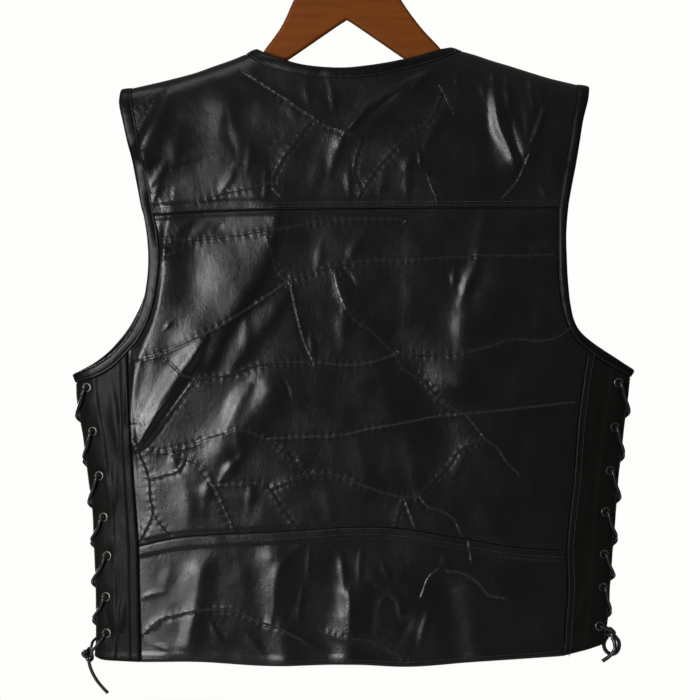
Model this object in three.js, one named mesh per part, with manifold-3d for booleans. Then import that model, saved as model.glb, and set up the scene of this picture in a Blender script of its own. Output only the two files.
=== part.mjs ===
// A black leather patchwork vest, laced down both sides, on a wooden hanger.
//
// Millimetres, +Z up. The origin is the inner top of the hanger's hook, where it
// hangs on a rail. The back of the vest faces -Y, the front faces +Y, and the
// wearer's left side is at -X. In the tables, x is measured from the hook's line
// and down is measured below the top of the shoulders.
//
// Each cloth piece is a closed wall. Its outline is a patch between four edges in
// (x, down), laid on the form of the hanging vest, and neighbours share the
// points of their common edge. The solids are drawn in the order of the cut:
// yoke, centre, band and side panels of the back, the fronts, the bindings, then
// the eyelets, laces, press studs and the hanger.

import * as THREE from 'three';
import { mergeVertices } from 'three/addons/utils/BufferGeometryUtils.js';
import Module from 'manifold-3d';

const wasm = await Module();
wasm.setup();

// Driving sizes
const HOOK_TO_SHOULDER = 144;   // the hook's inner top down to the top of the shoulders
const WALL = 2;                 // leather, as it stands folded over its backing
const SEAM_HALF_GAP = 0.18;     // half of the clearance between neighbours
const BINDING_CROWN = 0.9;      // the bindings' rise above the panels
const RIDGE_RADIUS = 12;        // the bend of the leather over the hanger
const RIDGE_SLIT = 0.2;         // half of the shoulder seam's clearance
const BODY_POWER = 2.6;         // roundness of the hanging body's cross section
const EDGE_SHARE = 0.985;       // how far round the body the laced edges reach
const RELIEF_FADE = 40;         // folds grow from nothing over this far below the ridge
const BACK = -1;
const FRONT = 1;
const LEFT = -1;
const RIGHT = 1;

// The front closes left over right
const CLOSING_CENTRE = 6.5;
const LAP_RISE = 4;
const LAP_START = -75;
const LAP_END = -25;

const EYELET_BORE = 2.6;
const EYELET_BARREL = 3.1;
const EYELET_HOLE = 3.65;
const EYELET_RIM = 5.2;
const EYELET_RISE = 2.1;
const EYELET_SEAT = 0.35;
const EYELET_SIDES = 8;
const LACE_RADIUS = 1.6;
const TAIL_RADIUS = 1.7;
const LACE_SIDES = 8;
const LACE_LIFT = 4.7;          // a lace's middle over the leather as it leaves an eyelet
const OUTER_CROSSING = 3.6;     // where the two runs of a lace pass the edge, outwards
const INNER_CROSSING = -0.6;

const STUD_RADIUS = 7.5;
const STUD_HEIGHT = 3.2;
const STUD_X = 2.8;
const STUD_DOWNS = [222, 334, 446, 558];

const HANGER_THICKNESS = 14;
const HANGER_BEVEL = 2.5;
const HANGER_BELOW_SHOULDER = 4.6;
const HANGER_TIP = 217;
const HOOK_WIRE_RADIUS = 2;
const HOOK_ARC_RADIUS = 19;
const HOOK_ARC_START = -50;
const HOOK_ARC_END = 205;
const WOOD_TOP_DOWN = -92;

// The top line of the shoulders; the middle rows carry it across the open neck
const SHOULDER_LINE = [
  { x: -232, down: 43.5 },
  { x: -198, down: 36 },
  { x: -173, down: 30 },
  { x: -151, down: 24 },
  { x: -136, down: 18.6 },
  { x: -117, down: 12 },
  { x: -102, down: 6 },
  { x: -89, down: 1 },
  { x: -50, down: -12 },
  { x: 6, down: -19 },
  { x: 60, down: -12 },
  { x: 102, down: -0.6 },
  { x: 127, down: 6 },
  { x: 145, down: 12 },
  { x: 165, down: 18 },
  { x: 182, down: 23.4 },
  { x: 204, down: 30 },
  { x: 229, down: 36 },
  { x: 248, down: 40.5 },
];

// How far the back and the front stand from the middle plane at the widest place
const BODY_DEPTH = [
  { down: -30, depth: 25 },
  { down: 60, depth: 27 },
  { down: 150, depth: 30 },
  { down: 300, depth: 33 },
  { down: 450, depth: 34 },
  { down: 560, depth: 33 },
  { down: 640, depth: 31 },
];

// Armhole bindings: free edge and inner line, from the shoulder to the laced edge.
// The front half stands out past the back half by the peek.
const ARMHOLE_LEFT = [
  { outX: -227.5, outDown: 42.5, inX: -215.5, inDown: 39.8, peek: 0 },
  { outX: -227.8, outDown: 56, inX: -214.2, inDown: 56, peek: 0 },
  { outX: -224, outDown: 74, inX: -211, inDown: 73, peek: 0 },
  { outX: -219, outDown: 96, inX: -207, inDown: 94, peek: 0 },
  { outX: -214, outDown: 114, inX: -202.5, inDown: 112, peek: 0 },
  { outX: -209.5, outDown: 137, inX: -198, inDown: 134, peek: 0 },
  { outX: -205, outDown: 160, inX: -194, inDown: 158.5, peek: 0 },
  { outX: -202.5, outDown: 169, inX: -192.5, inDown: 167.5, peek: 0 },
  { outX: -199, outDown: 192, inX: -188.5, inDown: 190, peek: 0 },
  { outX: -198, outDown: 212, inX: -187.2, inDown: 213, peek: 0 },
  { outX: -199, outDown: 230, inX: -189, inDown: 233, peek: 1 },
  { outX: -203.5, outDown: 256, inX: -194, inDown: 260, peek: 4 },
  { outX: -210, outDown: 273, inX: -200.5, inDown: 278, peek: 5.5 },
  { outX: -217, outDown: 285.5, inX: -209, inDown: 293, peek: 6 },
  { outX: -226, outDown: 297, inX: -219, inDown: 304, peek: 6 },
  { outX: -238.5, outDown: 308.5, inX: -233.5, inDown: 318.5, peek: 5 },
  { outX: -254, outDown: 318, inX: -250, inDown: 328, peek: 3 },
  { outX: -273.8, outDown: 325.5, inX: -271, inDown: 334.5, peek: 0 },
];
const ARMHOLE_RIGHT = [
  { outX: 242.8, outDown: 39.3, inX: 230.5, inDown: 36.4, peek: 0 },
  { outX: 241, outDown: 52, inX: 229.5, inDown: 52, peek: 0 },
  { outX: 236, outDown: 72, inX: 226, inDown: 71, peek: 0 },
  { outX: 232, outDown: 96, inX: 222.5, inDown: 94, peek: 0 },
  { outX: 229, outDown: 114, inX: 219.5, inDown: 112, peek: 0 },
  { outX: 224.5, outDown: 137, inX: 215, inDown: 135, peek: 0 },
  { outX: 221.3, outDown: 155, inX: 212, inDown: 154, peek: 0 },
  { outX: 220.5, outDown: 161, inX: 211, inDown: 160.2, peek: 0 },
  { outX: 218.5, outDown: 187, inX: 210.5, inDown: 185, peek: 0 },
  { outX: 219, outDown: 212, inX: 210.5, inDown: 213, peek: 0 },
  { outX: 220, outDown: 232, inX: 211.5, inDown: 236, peek: 0 },
  { outX: 222.5, outDown: 256, inX: 215, inDown: 261, peek: 1.5 },
  { outX: 226.5, outDown: 273, inX: 220.5, inDown: 279, peek: 2.5 },
  { outX: 234, outDown: 286, inX: 229, inDown: 292.5, peek: 3 },
  { outX: 245, outDown: 296, inX: 240.6, inDown: 302.5, peek: 3 },
  { outX: 258, outDown: 304.5, inX: 254, inDown: 312.5, peek: 2.5 },
  { outX: 272, outDown: 312.5, inX: 268, inDown: 320.5, peek: 1.5 },
  { outX: 287, outDown: 321.5, inX: 283.5, inDown: 329, peek: 0 },
];
const ARMHOLE_YOKE_ROW = 7;     // the yoke seam meets the binding at this row
const ARMHOLE_SIDE_ROW = 14;    // and the side seam at this one

// Neck binding across the back: free edge and inner line, left to right
const BACK_NECK = [
  { outX: -89, outDown: 1, inX: -101.5, inDown: 5.8 },
  { outX: -81, outDown: 5, inX: -91, inDown: 13.5 },
  { outX: -65, outDown: 11, inX: -72, inDown: 21.8 },
  { outX: -48, outDown: 16.3, inX: -53, inDown: 26.8 },
  { outX: -27, outDown: 19.3, inX: -30, inDown: 29.8 },
  { outX: -3, outDown: 20.3, inX: -3, inDown: 31.3 },
  { outX: 21, outDown: 18, inX: 23, inDown: 29.6 },
  { outX: 47, outDown: 13.7, inX: 52, inDown: 23.8 },
  { outX: 71, outDown: 8, inX: 77, inDown: 17.6 },
  { outX: 89, outDown: 2.3, inX: 98, inDown: 10 },
  { outX: 102, outDown: -0.6, inX: 114.5, inDown: 2.8 },
];

// The V neck and the closing edge of the left front; the right one is its mirror
const FRONT_EDGE = [
  { outX: -89, outDown: 1, inX: -101.5, inDown: 5.8 },
  { outX: -80, outDown: 18, inX: -91, inDown: 24 },
  { outX: -66, outDown: 42, inX: -76, inDown: 48 },
  { outX: -40, outDown: 88, inX: -49.5, inDown: 94 },
  { outX: -11, outDown: 136, inX: -20, inDown: 142 },
  { outX: 12, outDown: 172, inX: 2.5, inDown: 179 },
  { outX: 20.5, outDown: 192, inX: 10, inDown: 198 },
  { outX: 22, outDown: 215, inX: 11.5, inDown: 218 },
  { outX: 22, outDown: 400, inX: 11.5, inDown: 400 },
  { outX: 22, outDown: 615.5, inX: 11.5, inDown: 615.5 },
];

const LACED_EDGE_LEFT = [
  { x: -271, down: 334.5 },
  { x: -270.6, down: 348 },
  { x: -267.5, down: 370 },
  { x: -263.5, down: 392 },
  { x: -259, down: 432 },
  { x: -255.5, down: 456 },
  { x: -253.5, down: 492 },
  { x: -252, down: 532 },
  { x: -251.5, down: 572 },
  { x: -251.7, down: 597 },
  { x: -252.6, down: 608 },
];
const LACED_EDGE_RIGHT = [
  { x: 283.5, down: 329 },
  { x: 281.5, down: 348 },
  { x: 278.5, down: 372 },
  { x: 274.5, down: 408 },
  { x: 272, down: 432 },
  { x: 269, down: 468 },
  { x: 266.5, down: 504 },
  { x: 263.5, down: 540 },
  { x: 261.5, down: 564 },
  { x: 259.5, down: 582 },
  { x: 258, down: 595.5 },
];

const SIDE_SEAM_LEFT = [
  { x: -219, down: 304 },
  { x: -218, down: 337 },
  { x: -216.6, down: 372 },
  { x: -213.3, down: 427 },
  { x: -210.7, down: 462 },
  { x: -208.3, down: 497 },
];
const BAND_SIDE_LEFT = [
  { x: -208.3, down: 497 },
  { x: -207.5, down: 541 },
  { x: -206.7, down: 577 },
  { x: -206, down: 613 },
];
const SIDE_SEAM_RIGHT = [
  { x: 240.6, down: 302.5 },
  { x: 237, down: 322 },
  { x: 234, down: 344 },
  { x: 230.5, down: 372 },
  { x: 226, down: 431 },
  { x: 221.5, down: 472 },
  { x: 219, down: 501.5 },
];
const BAND_SIDE_RIGHT = [
  { x: 219, down: 501.5 },
  { x: 220.2, down: 541 },
  { x: 218, down: 572 },
  { x: 216.6, down: 597 },
  { x: 214.3, down: 607.2 },
];

const YOKE_SEAM = [
  { x: -192.5, down: 167.5 },
  { x: -135, down: 164 },
  { x: -72, down: 162.3 },
  { x: 3, down: 161.5 },
  { x: 95, down: 160.7 },
  { x: 211, down: 160.2 },
];
const BAND_SEAM = [
  { x: -208.3, down: 497 },
  { x: -170, down: 488.8 },
  { x: -116, down: 484.8 },
  { x: -62, down: 482.4 },
  { x: 3, down: 478.3 },
  { x: 48, down: 479 },
  { x: 105, down: 487.5 },
  { x: 146.5, down: 495 },
  { x: 178, down: 499 },
  { x: 219, down: 501.5 },
];
const BACK_HEM = [
  { x: -206, down: 613 },
  { x: -147, down: 612.5 },
  { x: -79, down: 616.3 },
  { x: 3, down: 614.8 },
  { x: 62, down: 617 },
  { x: 133, down: 612 },
  { x: 214.3, down: 607.2 },
];
const SIDE_HEM_LEFT = [
  { x: -252.6, down: 608 },
  { x: -246, down: 611 },
  { x: -227, down: 612.4 },
  { x: -206, down: 613 },
];
const SIDE_HEM_RIGHT = [
  { x: 214.3, down: 607.2 },
  { x: 238, down: 601.5 },
  { x: 253, down: 597 },
  { x: 258, down: 595.5 },
];

// The largest folds: a soft ridge, or a trough where rise is negative, along a line
const FOLDS = [
  { side: BACK, x0: -178, down0: 46, x1: -204, down1: 104, rise: 4.5, spread: 13 },
  { side: BACK, x0: -198, down0: 52, x1: -213, down1: 100, rise: -2.5, spread: 11 },
  { side: BACK, x0: -118, down0: 60, x1: -98, down1: 134, rise: 3, spread: 16 },
  { side: BACK, x0: 148, down0: 34, x1: 166, down1: 110, rise: 3.5, spread: 12 },
  { side: BACK, x0: 186, down0: 40, x1: 184, down1: 100, rise: 3, spread: 11 },
  { side: BACK, x0: 83, down0: 24, x1: 3, down1: 88, rise: 2.5, spread: 13 },
  { side: BACK, x0: -77, down0: 172, x1: -148, down1: 292, rise: 4.5, spread: 26 },
  { side: BACK, x0: -148, down0: 292, x1: -212, down1: 386, rise: 5.5, spread: 24 },
  { side: BACK, x0: -77, down0: 342, x1: -124, down1: 400, rise: 3.5, spread: 17 },
  { side: BACK, x0: 150, down0: 236, x1: 112, down1: 330, rise: 3.5, spread: 24 },
  { side: BACK, x0: 46, down0: 290, x1: 96, down1: 392, rise: -3, spread: 22 },
  { side: BACK, x0: -148, down0: 524, x1: -158, down1: 596, rise: 2.5, spread: 12 },
  { side: BACK, x0: -72, down0: 510, x1: -60, down1: 616, rise: 3, spread: 15 },
  { side: BACK, x0: 4, down0: 548, x1: 2, down1: 616, rise: 3.5, spread: 14 },
  { side: BACK, x0: 100, down0: 540, x1: 112, down1: 612, rise: -2.5, spread: 15 },
  { side: FRONT, x0: -176, down0: 48, x1: -160, down1: 128, rise: 4, spread: 15 },
  { side: FRONT, x0: 176, down0: 48, x1: 166, down1: 140, rise: 4, spread: 15 },
  { side: FRONT, x0: -120, down0: 190, x1: -176, down1: 322, rise: 4.5, spread: 24 },
  { side: FRONT, x0: 96, down0: 210, x1: 168, down1: 330, rise: 5, spread: 24 },
  { side: FRONT, x0: -70, down0: 330, x1: -108, down1: 430, rise: -3, spread: 20 },
  { side: FRONT, x0: 116, down0: 392, x1: 84, down1: 470, rise: 3.5, spread: 18 },
  { side: FRONT, x0: -128, down0: 516, x1: -118, down1: 612, rise: 3.5, spread: 16 },
  { side: FRONT, x0: 112, down0: 524, x1: 124, down1: 606, rise: 3, spread: 15 },
];

// Eyelets of each laced edge, top to bottom; the front's lie behind the back's
const EYELETS_LEFT = [
  { x: -259.7, down: 339.5 },
  { x: -253.8, down: 383.2 },
  { x: -247.5, down: 427.5 },
  { x: -243.3, down: 468.8 },
  { x: -239.7, down: 507.4 },
  { x: -240.8, down: 548.2 },
  { x: -240.2, down: 584.6 },
];
const EYELETS_RIGHT = [
  { x: 271.2, down: 334.5 },
  { x: 267.5, down: 379 },
  { x: 263.1, down: 422.4 },
  { x: 258.4, down: 463.6 },
  { x: 257.2, down: 505.9 },
  { x: 255.8, down: 539.1 },
  { x: 252.2, down: 577.5 },
];

// Where each lace is tied, and the routes of what hangs free: x, y and down
const KNOT_LEFT = { x: -258.9, y: -5, down: 606.3, width: 6, depth: 5.5, height: 7.2 };
const KNOT_RIGHT = { x: 264, y: -1, down: 585, width: 4.8, depth: 4.4, height: 4.8 };
const TAIL_LEFT = [
  { x: -258.3, y: -5, down: 613.85 },
  { x: -257.4, y: -5, down: 618 },
  { x: -255.6, y: -5, down: 623 },
  { x: -253.3, y: -5, down: 627.8 },
  { x: -250.9, y: -5, down: 631.8 },
  { x: -248.3, y: -5, down: 635.4 },
  { x: -245.5, y: -5, down: 638.7 },
  { x: -242.5, y: -5, down: 642 },
  { x: -239.2, y: -5, down: 645.3 },
];
const LOOP_RIGHT = [
  { x: 260.94, y: -1, down: 589.14 },
  { x: 257.9, y: -1, down: 594 },
  { x: 257.6, y: -1, down: 599.5 },
  { x: 260.2, y: -1, down: 604.2 },
  { x: 265, y: -1, down: 606.8 },
  { x: 270, y: -1, down: 604.8 },
  { x: 272.5, y: -1, down: 599.5 },
  { x: 272, y: -1, down: 593.5 },
  { x: 268, y: -1, down: 588.24 },
];
const TAIL_RIGHT = [
  { x: 265.5, y: -3.5, down: 589.1 },
  { x: 267.5, y: -5.2, down: 594.5 },
  { x: 268.2, y: -5.4, down: 600.2 },
  { x: 265.4, y: -5.4, down: 605.4 },
  { x: 260.6, y: -5.2, down: 609.8 },
  { x: 254.4, y: -4.8, down: 613.8 },
];

// How the ends of the laces reach their knots, from the last eyelets
const TIES = {
  [LEFT]: {
    [BACK]: [
      { x: -246.5, y: -15.2, down: 593 },
      { x: -252.8, y: -12.2, down: 600.4 },
      { x: -255.1, y: -8.9, down: 602.6 },
    ],
    [FRONT]: [
      { x: -254.9, y: 9.4, down: 594 },
      { x: -256.6, y: 3.4, down: 599.4 },
      { x: -257.6, y: -0.2, down: 602.4 },
    ],
  },
  [RIGHT]: {
    [BACK]: [
      { x: 258.4, y: -14, down: 580 },
      { x: 263.4, y: -9.7, down: 582.2 },
      { x: 263.8, y: -5.6, down: 583.5 },
    ],
    [FRONT]: [
      { x: 258.4, y: 14, down: 580.2 },
      { x: 263.4, y: 7.7, down: 582.2 },
      { x: 263.8, y: 3.6, down: 583.5 },
    ],
  },
};

// The hanger's neck, as far left and right as it reaches, and its underside
const HANGER_NECK = [
  { down: 7.5, left: 86.5, right: 98 },
  { down: 1.5, left: 82.5, right: 94.5 },
  { down: -21, left: 66.3, right: 74 },
  { down: -48, left: 53.7, right: 54.5 },
  { down: -68, left: 44, right: 44 },
  { down: -82, left: 33, right: 33 },
  { down: -90, left: 18, right: 18 },
  { down: WOOD_TOP_DOWN, left: 6, right: 6 },
];
const HANGER_UNDERSIDE = [
  { x: 8, down: -23.5 },
  { x: 30, down: -8.5 },
  { x: 60, down: 12 },
  { x: 84, down: 27 },
  { x: 112, down: 40 },
  { x: 150, down: 52 },
  { x: 188, down: 62 },
  { x: 210, down: 65 },
  { x: 217, down: 60 },
];

// Where the rows and columns of the patches fall
const YOKE_STEPS = [0, 0.01, 0.035, 0.09, 0.2, 0.38, 0.6, 0.8, 1];
const SHOULDER_COLUMNS = 6;
const NECK_STEPS = [0, 0.01, 0.035, 0.08, 0.17, 0.33, 0.5, 0.67, 0.83, 0.92, 0.965, 0.99, 1];
const NECK_COLUMNS = NECK_STEPS.length - 1;
const CHEST_ROWS = 6;
const UNDERARM_ROWS = 4;
const SIDE_ROWS = 6;
const BAND_ROWS = 3;

const materials = {
  leather: { color: 0x1e1e1c, roughness: 0.42, metalness: 0 },
  binding: { color: 0x1a1a19, roughness: 0.5, metalness: 0 },
  lace: { color: 0x151515, roughness: 0.55, metalness: 0 },
  eyelet: { color: 0x8c8a84, roughness: 0.4, metalness: 0.9 },
  wood: { color: 0x76401b, roughness: 0.35, metalness: 0 },
  steel: { color: 0xb8b8b8, roughness: 0.25, metalness: 1 },
};

const heightAt = (down) => -HOOK_TO_SHOULDER - down;

// A smooth function through a table's rows, from one column to another
function throughRows(rows, from, to) {
  const slopeAt = (i) => {
    const before = rows[Math.max(i - 1, 0)];
    const after = rows[Math.min(i + 1, rows.length - 1)];
    return (after[to] - before[to]) / (after[from] - before[from]);
  };
  return (value) => {
    let i = 0;
    while (i < rows.length - 2 && rows[i + 1][from] < value) i += 1;
    const a = rows[i];
    const b = rows[i + 1];
    const span = b[from] - a[from];
    const t = THREE.MathUtils.clamp((value - a[from]) / span, 0, 1);
    const rest = 1 - t;
    return a[to] * (1 + 2 * t) * rest * rest + slopeAt(i) * span * t * rest * rest
      + b[to] * t * t * (3 - 2 * t) - slopeAt(i + 1) * span * t * t * rest;
  };
}

const shoulderLine = throughRows(SHOULDER_LINE, 'x', 'down');
const widestDepth = throughRows(BODY_DEPTH, 'down', 'depth');
const lacedEdge = {
  [LEFT]: throughRows(LACED_EDGE_LEFT, 'down', 'x'),
  [RIGHT]: throughRows(LACED_EDGE_RIGHT, 'down', 'x'),
};

// Folds that lie near a point raise or sink the leather there
function foldRise(x, down, side) {
  let rise = 0;
  for (const fold of FOLDS) {
    if (fold.side !== side) continue;
    const runX = fold.x1 - fold.x0;
    const runDown = fold.down1 - fold.down0;
    const along = ((x - fold.x0) * runX + (down - fold.down0) * runDown) / (runX ** 2 + runDown ** 2);
    const t = THREE.MathUtils.clamp(along, 0, 1);
    const offX = x - fold.x0 - t * runX;
    const offDown = down - fold.down0 - t * runDown;
    rise += fold.rise * Math.exp(-(offX ** 2 + offDown ** 2) / fold.spread ** 2);
  }
  return rise;
}

// The hanging form: a roof over the hanger that runs into a flattened body
function depthSquared(x, down, side) {
  const drop = Math.max(down - shoulderLine(x), 0);
  const left = lacedEdge[LEFT](down);
  const right = lacedEdge[RIGHT](down);
  const share = Math.min(Math.abs((2 * x - left - right) / (right - left)) * EDGE_SHARE, 0.995);
  const body = widestDepth(down) * (1 - share ** BODY_POWER) ** (1 / BODY_POWER);
  const roof = 2 * RIDGE_RADIUS * drop;
  const depth = Math.sqrt(roof / (1 + (roof / body ** 2) ** 1.5) ** (2 / 3));
  return (depth + foldRise(x, down, side) * drop / (drop + RELIEF_FADE)) ** 2;
}

// A point of the leather's outer face, moved out by a distance
function onForm(x, down, side, out = 0) {
  const step = 0.5;
  const above = Math.min(step, Math.max(down - shoulderLine(x), 0));
  const y = side * Math.sqrt(depthSquared(x, down, side));
  const slopeX = (depthSquared(x + step, down, side) - depthSquared(x - step, down, side)) / (2 * step);
  const slopeDown = (depthSquared(x, down + step, side) - depthSquared(x, down - above, side))
    / (step + above);
  const normal = new THREE.Vector3(-slopeX, 2 * y, slopeDown).normalize();
  return new THREE.Vector3(x, y, heightAt(down)).addScaledVector(normal, out);
}

// The left front rises where it laps over the right one
const lapRise = (x) => LAP_RISE * THREE.MathUtils.smoothstep(x, LAP_START, LAP_END);

// Edges: smooth lines through table rows, cut at shares of their length
function edge(rows, shares, xKey = 'x', downKey = 'down') {
  const points = rows.map((row) => new THREE.Vector3(row[xKey], row[downKey], 0));
  const curve = new THREE.CatmullRomCurve3(points, false, 'centripetal');
  return shares.map((share) => {
    const point = curve.getPointAt(share);
    return new THREE.Vector2(point.x, point.y);
  });
}
const evenShares = (count) => Array.from({ length: count + 1 }, (_, i) => i / count);
const joined = (...parts) => parts.flatMap((part, i) => (i === 0 ? part : part.slice(1)));
const onRidge = (x) => new THREE.Vector2(x, shoulderLine(x) + RIDGE_SLIT ** 2 / (2 * RIDGE_RADIUS));

// A binding's two edges, cut in step at the same shares
function bindingEdges(rows, shares, ridgeEnds) {
  const out = edge(rows, shares, 'outX', 'outDown');
  const inner = edge(rows, shares, 'inX', 'inDown');
  for (const end of ridgeEnds) {
    const i = end === 0 ? 0 : out.length - 1;
    out[i] = onRidge(out[i].x);
    inner[i] = onRidge(inner[i].x);
  }
  return { out, inner };
}

// Both edges of an armhole binding on one side of the vest, back or front
function armhole(table, side) {
  const rows = table.map((row) => {
    const run = Math.hypot(row.outX - row.inX, row.outDown - row.inDown);
    const shift = side === FRONT ? row.peek / run : 0;
    return {
      outX: row.outX + (row.outX - row.inX) * shift,
      outDown: row.outDown + (row.outDown - row.inDown) * shift,
      inX: row.inX + (row.outX - row.inX) * shift,
      inDown: row.inDown + (row.outDown - row.inDown) * shift,
    };
  });
  const yoke = bindingEdges(rows.slice(0, ARMHOLE_YOKE_ROW + 1), YOKE_STEPS, [0]);
  const chest = bindingEdges(rows.slice(ARMHOLE_YOKE_ROW, ARMHOLE_SIDE_ROW + 1), evenShares(CHEST_ROWS), []);
  const underarm = bindingEdges(rows.slice(ARMHOLE_SIDE_ROW), evenShares(UNDERARM_ROWS), []);
  return {
    yoke: yoke.inner,
    chest: chest.inner,
    underarm: underarm.inner,
    out: joined(yoke.out, chest.out, underarm.out),
    inner: joined(yoke.inner, chest.inner, underarm.inner),
  };
}

// Shares of the way along a line of points
function lengthShares(points) {
  const lengths = [0];
  for (let i = 1; i < points.length; i += 1) {
    lengths.push(lengths[i - 1] + points[i].distanceTo(points[i - 1]));
  }
  return lengths.map((length) => length / lengths[lengths.length - 1]);
}
const meanShares = (a, b) => lengthShares(a).map((share, i) => (share + lengthShares(b)[i]) / 2);

// A patch between four edges that meet at their ends, as rows of (x, down)
function patch(top, bottom, left, right) {
  const across = meanShares(top, bottom);
  const down = meanShares(left, right);
  return left.map((_, j) => top.map((__, i) => {
    const u = across[i];
    const v = down[j];
    const point = new THREE.Vector2();
    point.addScaledVector(top[i], 1 - v).addScaledVector(bottom[i], v);
    point.addScaledVector(left[j], 1 - u).addScaledVector(right[j], u);
    point.addScaledVector(left[0], -(1 - u) * (1 - v)).addScaledVector(right[0], -u * (1 - v));
    point.addScaledVector(left[left.length - 1], -(1 - u) * v);
    point.addScaledVector(right[right.length - 1], -u * v);
    return point;
  }));
}

// Neighbours keep their clearance: each outer row and column moves in a little.
// On the ridge the top row stays, and next to the neck it moves along the ridge.
const downwards = (i) => [1, i];
const onlyAtSides = () => null;
const besideNeck = (i) => {
  const neckEnd = SHOULDER_COLUMNS + NECK_COLUMNS;
  if (i === SHOULDER_COLUMNS) return [0, i - 1];
  if (i === neckEnd) return [0, i + 1];
  return i > SHOULDER_COLUMNS && i < neckEnd ? [1, i] : null;
};
function drawnIn(rows, topPull = downwards) {
  const last = rows.length - 1;
  const end = rows[0].length - 1;
  const moved = rows.map((row) => row.map((point) => point.clone()));
  const pull = (j, i, toJ, toI) => {
    const direction = rows[toJ][toI].clone().sub(rows[j][i]).normalize();
    moved[j][i].addScaledVector(direction, SEAM_HALF_GAP);
  };
  for (let i = 0; i <= end; i += 1) {
    if (topPull(i)) pull(0, i, ...topPull(i));
    pull(last, i, last - 1, i);
  }
  for (let j = 0; j <= last; j += 1) {
    pull(j, 0, j, 1);
    pull(j, end, j, end - 1);
  }
  return moved;
}

// A closed body between two matching grids of points
function between(outer, inner) {
  const rows = outer.length;
  const columns = outer[0].length;
  const positions = [...outer.flat(), ...inner.flat()].flatMap((point) => point.toArray());
  const count = rows * columns;
  const index = [];
  const quad = (a, b, c, d) => index.push(a, b, c, a, c, d);
  for (let j = 0; j < rows - 1; j += 1) {
    for (let i = 0; i < columns - 1; i += 1) {
      const a = j * columns + i;
      quad(a, a + columns, a + columns + 1, a + 1);
      quad(count + a, count + a + 1, count + a + columns + 1, count + a + columns);
    }
  }
  const rim = [];
  for (let i = 0; i < columns - 1; i += 1) rim.push(i);
  for (let j = 0; j < rows - 1; j += 1) rim.push(j * columns + columns - 1);
  for (let i = columns - 1; i > 0; i -= 1) rim.push((rows - 1) * columns + i);
  for (let j = rows - 1; j > 0; j -= 1) rim.push(j * columns);
  rim.forEach((a, k) => {
    const b = rim[(k + 1) % rim.length];
    quad(a, b, count + b, count + a);
  });
  const geometry = new THREE.BufferGeometry();
  geometry.setAttribute('position', new THREE.Float32BufferAttribute(positions, 3));
  geometry.setIndex(index);
  return facingOut(geometry);
}

// Turns a closed body's faces outwards
function facingOut(geometry) {
  const index = geometry.getIndex();
  const position = geometry.getAttribute('position');
  const corner = [new THREE.Vector3(), new THREE.Vector3(), new THREE.Vector3()];
  let volume = 0;
  for (let i = 0; i < index.count; i += 3) {
    corner.forEach((point, k) => point.fromBufferAttribute(position, index.getX(i + k)));
    volume += corner[0].dot(corner[1].clone().cross(corner[2]));
  }
  if (volume < 0) {
    for (let i = 0; i < index.count; i += 3) {
      const second = index.getX(i + 1);
      index.setX(i + 1, index.getX(i + 2));
      index.setX(i + 2, second);
    }
  }
  geometry.computeVertexNormals();
  return geometry;
}

// A panel's wall on the form
function panelGeometry(rows, side, riseAt = () => 0) {
  const face = (out) => rows.map((row) => row.map((point) => (
    onForm(point.x, point.y, side, riseAt(point.x) + out))));
  return between(face(0), face(-WALL));
}

// A binding's wall: crowned outside, flat inside
function bindingGeometry(edges, side, ridgeEnds, riseAt = () => 0) {
  const middle = edges.out.map((point, i) => point.clone().lerp(edges.inner[i], 0.5));
  const strip = [edges.out, middle, edges.inner];
  const strips = strip.map((line, k) => line.map((point, i) => {
    const moved = point.clone();
    if (k === 2) moved.lerp(middle[i], SEAM_HALF_GAP / 5);
    const last = i === line.length - 1;
    if (last && !ridgeEnds.includes(1)) moved.lerp(line[i - 1], 0.02);
    return moved;
  }));
  const crown = [0.2, BINDING_CROWN, 0.2];
  const outer = strips.map((line, k) => line.map((point) => (
    onForm(point.x, point.y, side, riseAt(point.x) + crown[k]))));
  const inner = strips.map((line) => line.map((point) => (
    onForm(point.x, point.y, side, riseAt(point.x) - WALL))));
  return between(outer, inner);
}

function solidOf(geometry) {
  const bare = new THREE.BufferGeometry();
  bare.setAttribute('position', geometry.getAttribute('position').clone());
  if (geometry.getIndex()) bare.setIndex(geometry.getIndex().clone());
  const merged = mergeVertices(bare, 1e-3);
  const vertProperties = new Float32Array(merged.getAttribute('position').array);
  const triVerts = new Uint32Array(merged.getIndex().array);
  return new wasm.Manifold(new wasm.Mesh({ numProp: 3, vertProperties, triVerts }));
}

function geometryOf(solid) {
  const mesh = solid.getMesh();
  const geometry = new THREE.BufferGeometry();
  geometry.setAttribute('position', new THREE.Float32BufferAttribute(mesh.vertProperties, 3));
  geometry.setIndex([...mesh.triVerts]);
  geometry.computeVertexNormals();
  return geometry;
}

function named(name, geometry, material) {
  const mesh = new THREE.Mesh(geometry, new THREE.MeshStandardMaterial(materials[material]));
  mesh.name = name;
  mesh.updateMatrixWorld();
  return mesh;
}

// Where a straight line along Y first meets a piece, and which way it faces there
function onPiece(piece, x, down, side) {
  const start = new THREE.Vector3(x, side * 300, heightAt(down));
  const ray = new THREE.Raycaster(start, new THREE.Vector3(0, -side, 0));
  const [hit] = ray.intersectObject(piece);
  return { point: hit.point, normal: hit.face.normal.clone() };
}

// The edges that the pieces share
const holes = {
  [BACK]: { [LEFT]: armhole(ARMHOLE_LEFT, BACK), [RIGHT]: armhole(ARMHOLE_RIGHT, BACK) },
  [FRONT]: { [LEFT]: armhole(ARMHOLE_LEFT, FRONT), [RIGHT]: armhole(ARMHOLE_RIGHT, FRONT) },
};
const neckEdges = bindingEdges(BACK_NECK, NECK_STEPS, [0, 1]);
const ridgeBetween = (x0, x1, count) => evenShares(count).map((share) => (
  onRidge(THREE.MathUtils.lerp(x0, x1, share))));

const group = new THREE.Group();
const add = (mesh) => {
  group.add(mesh);
  return mesh;
};

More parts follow.
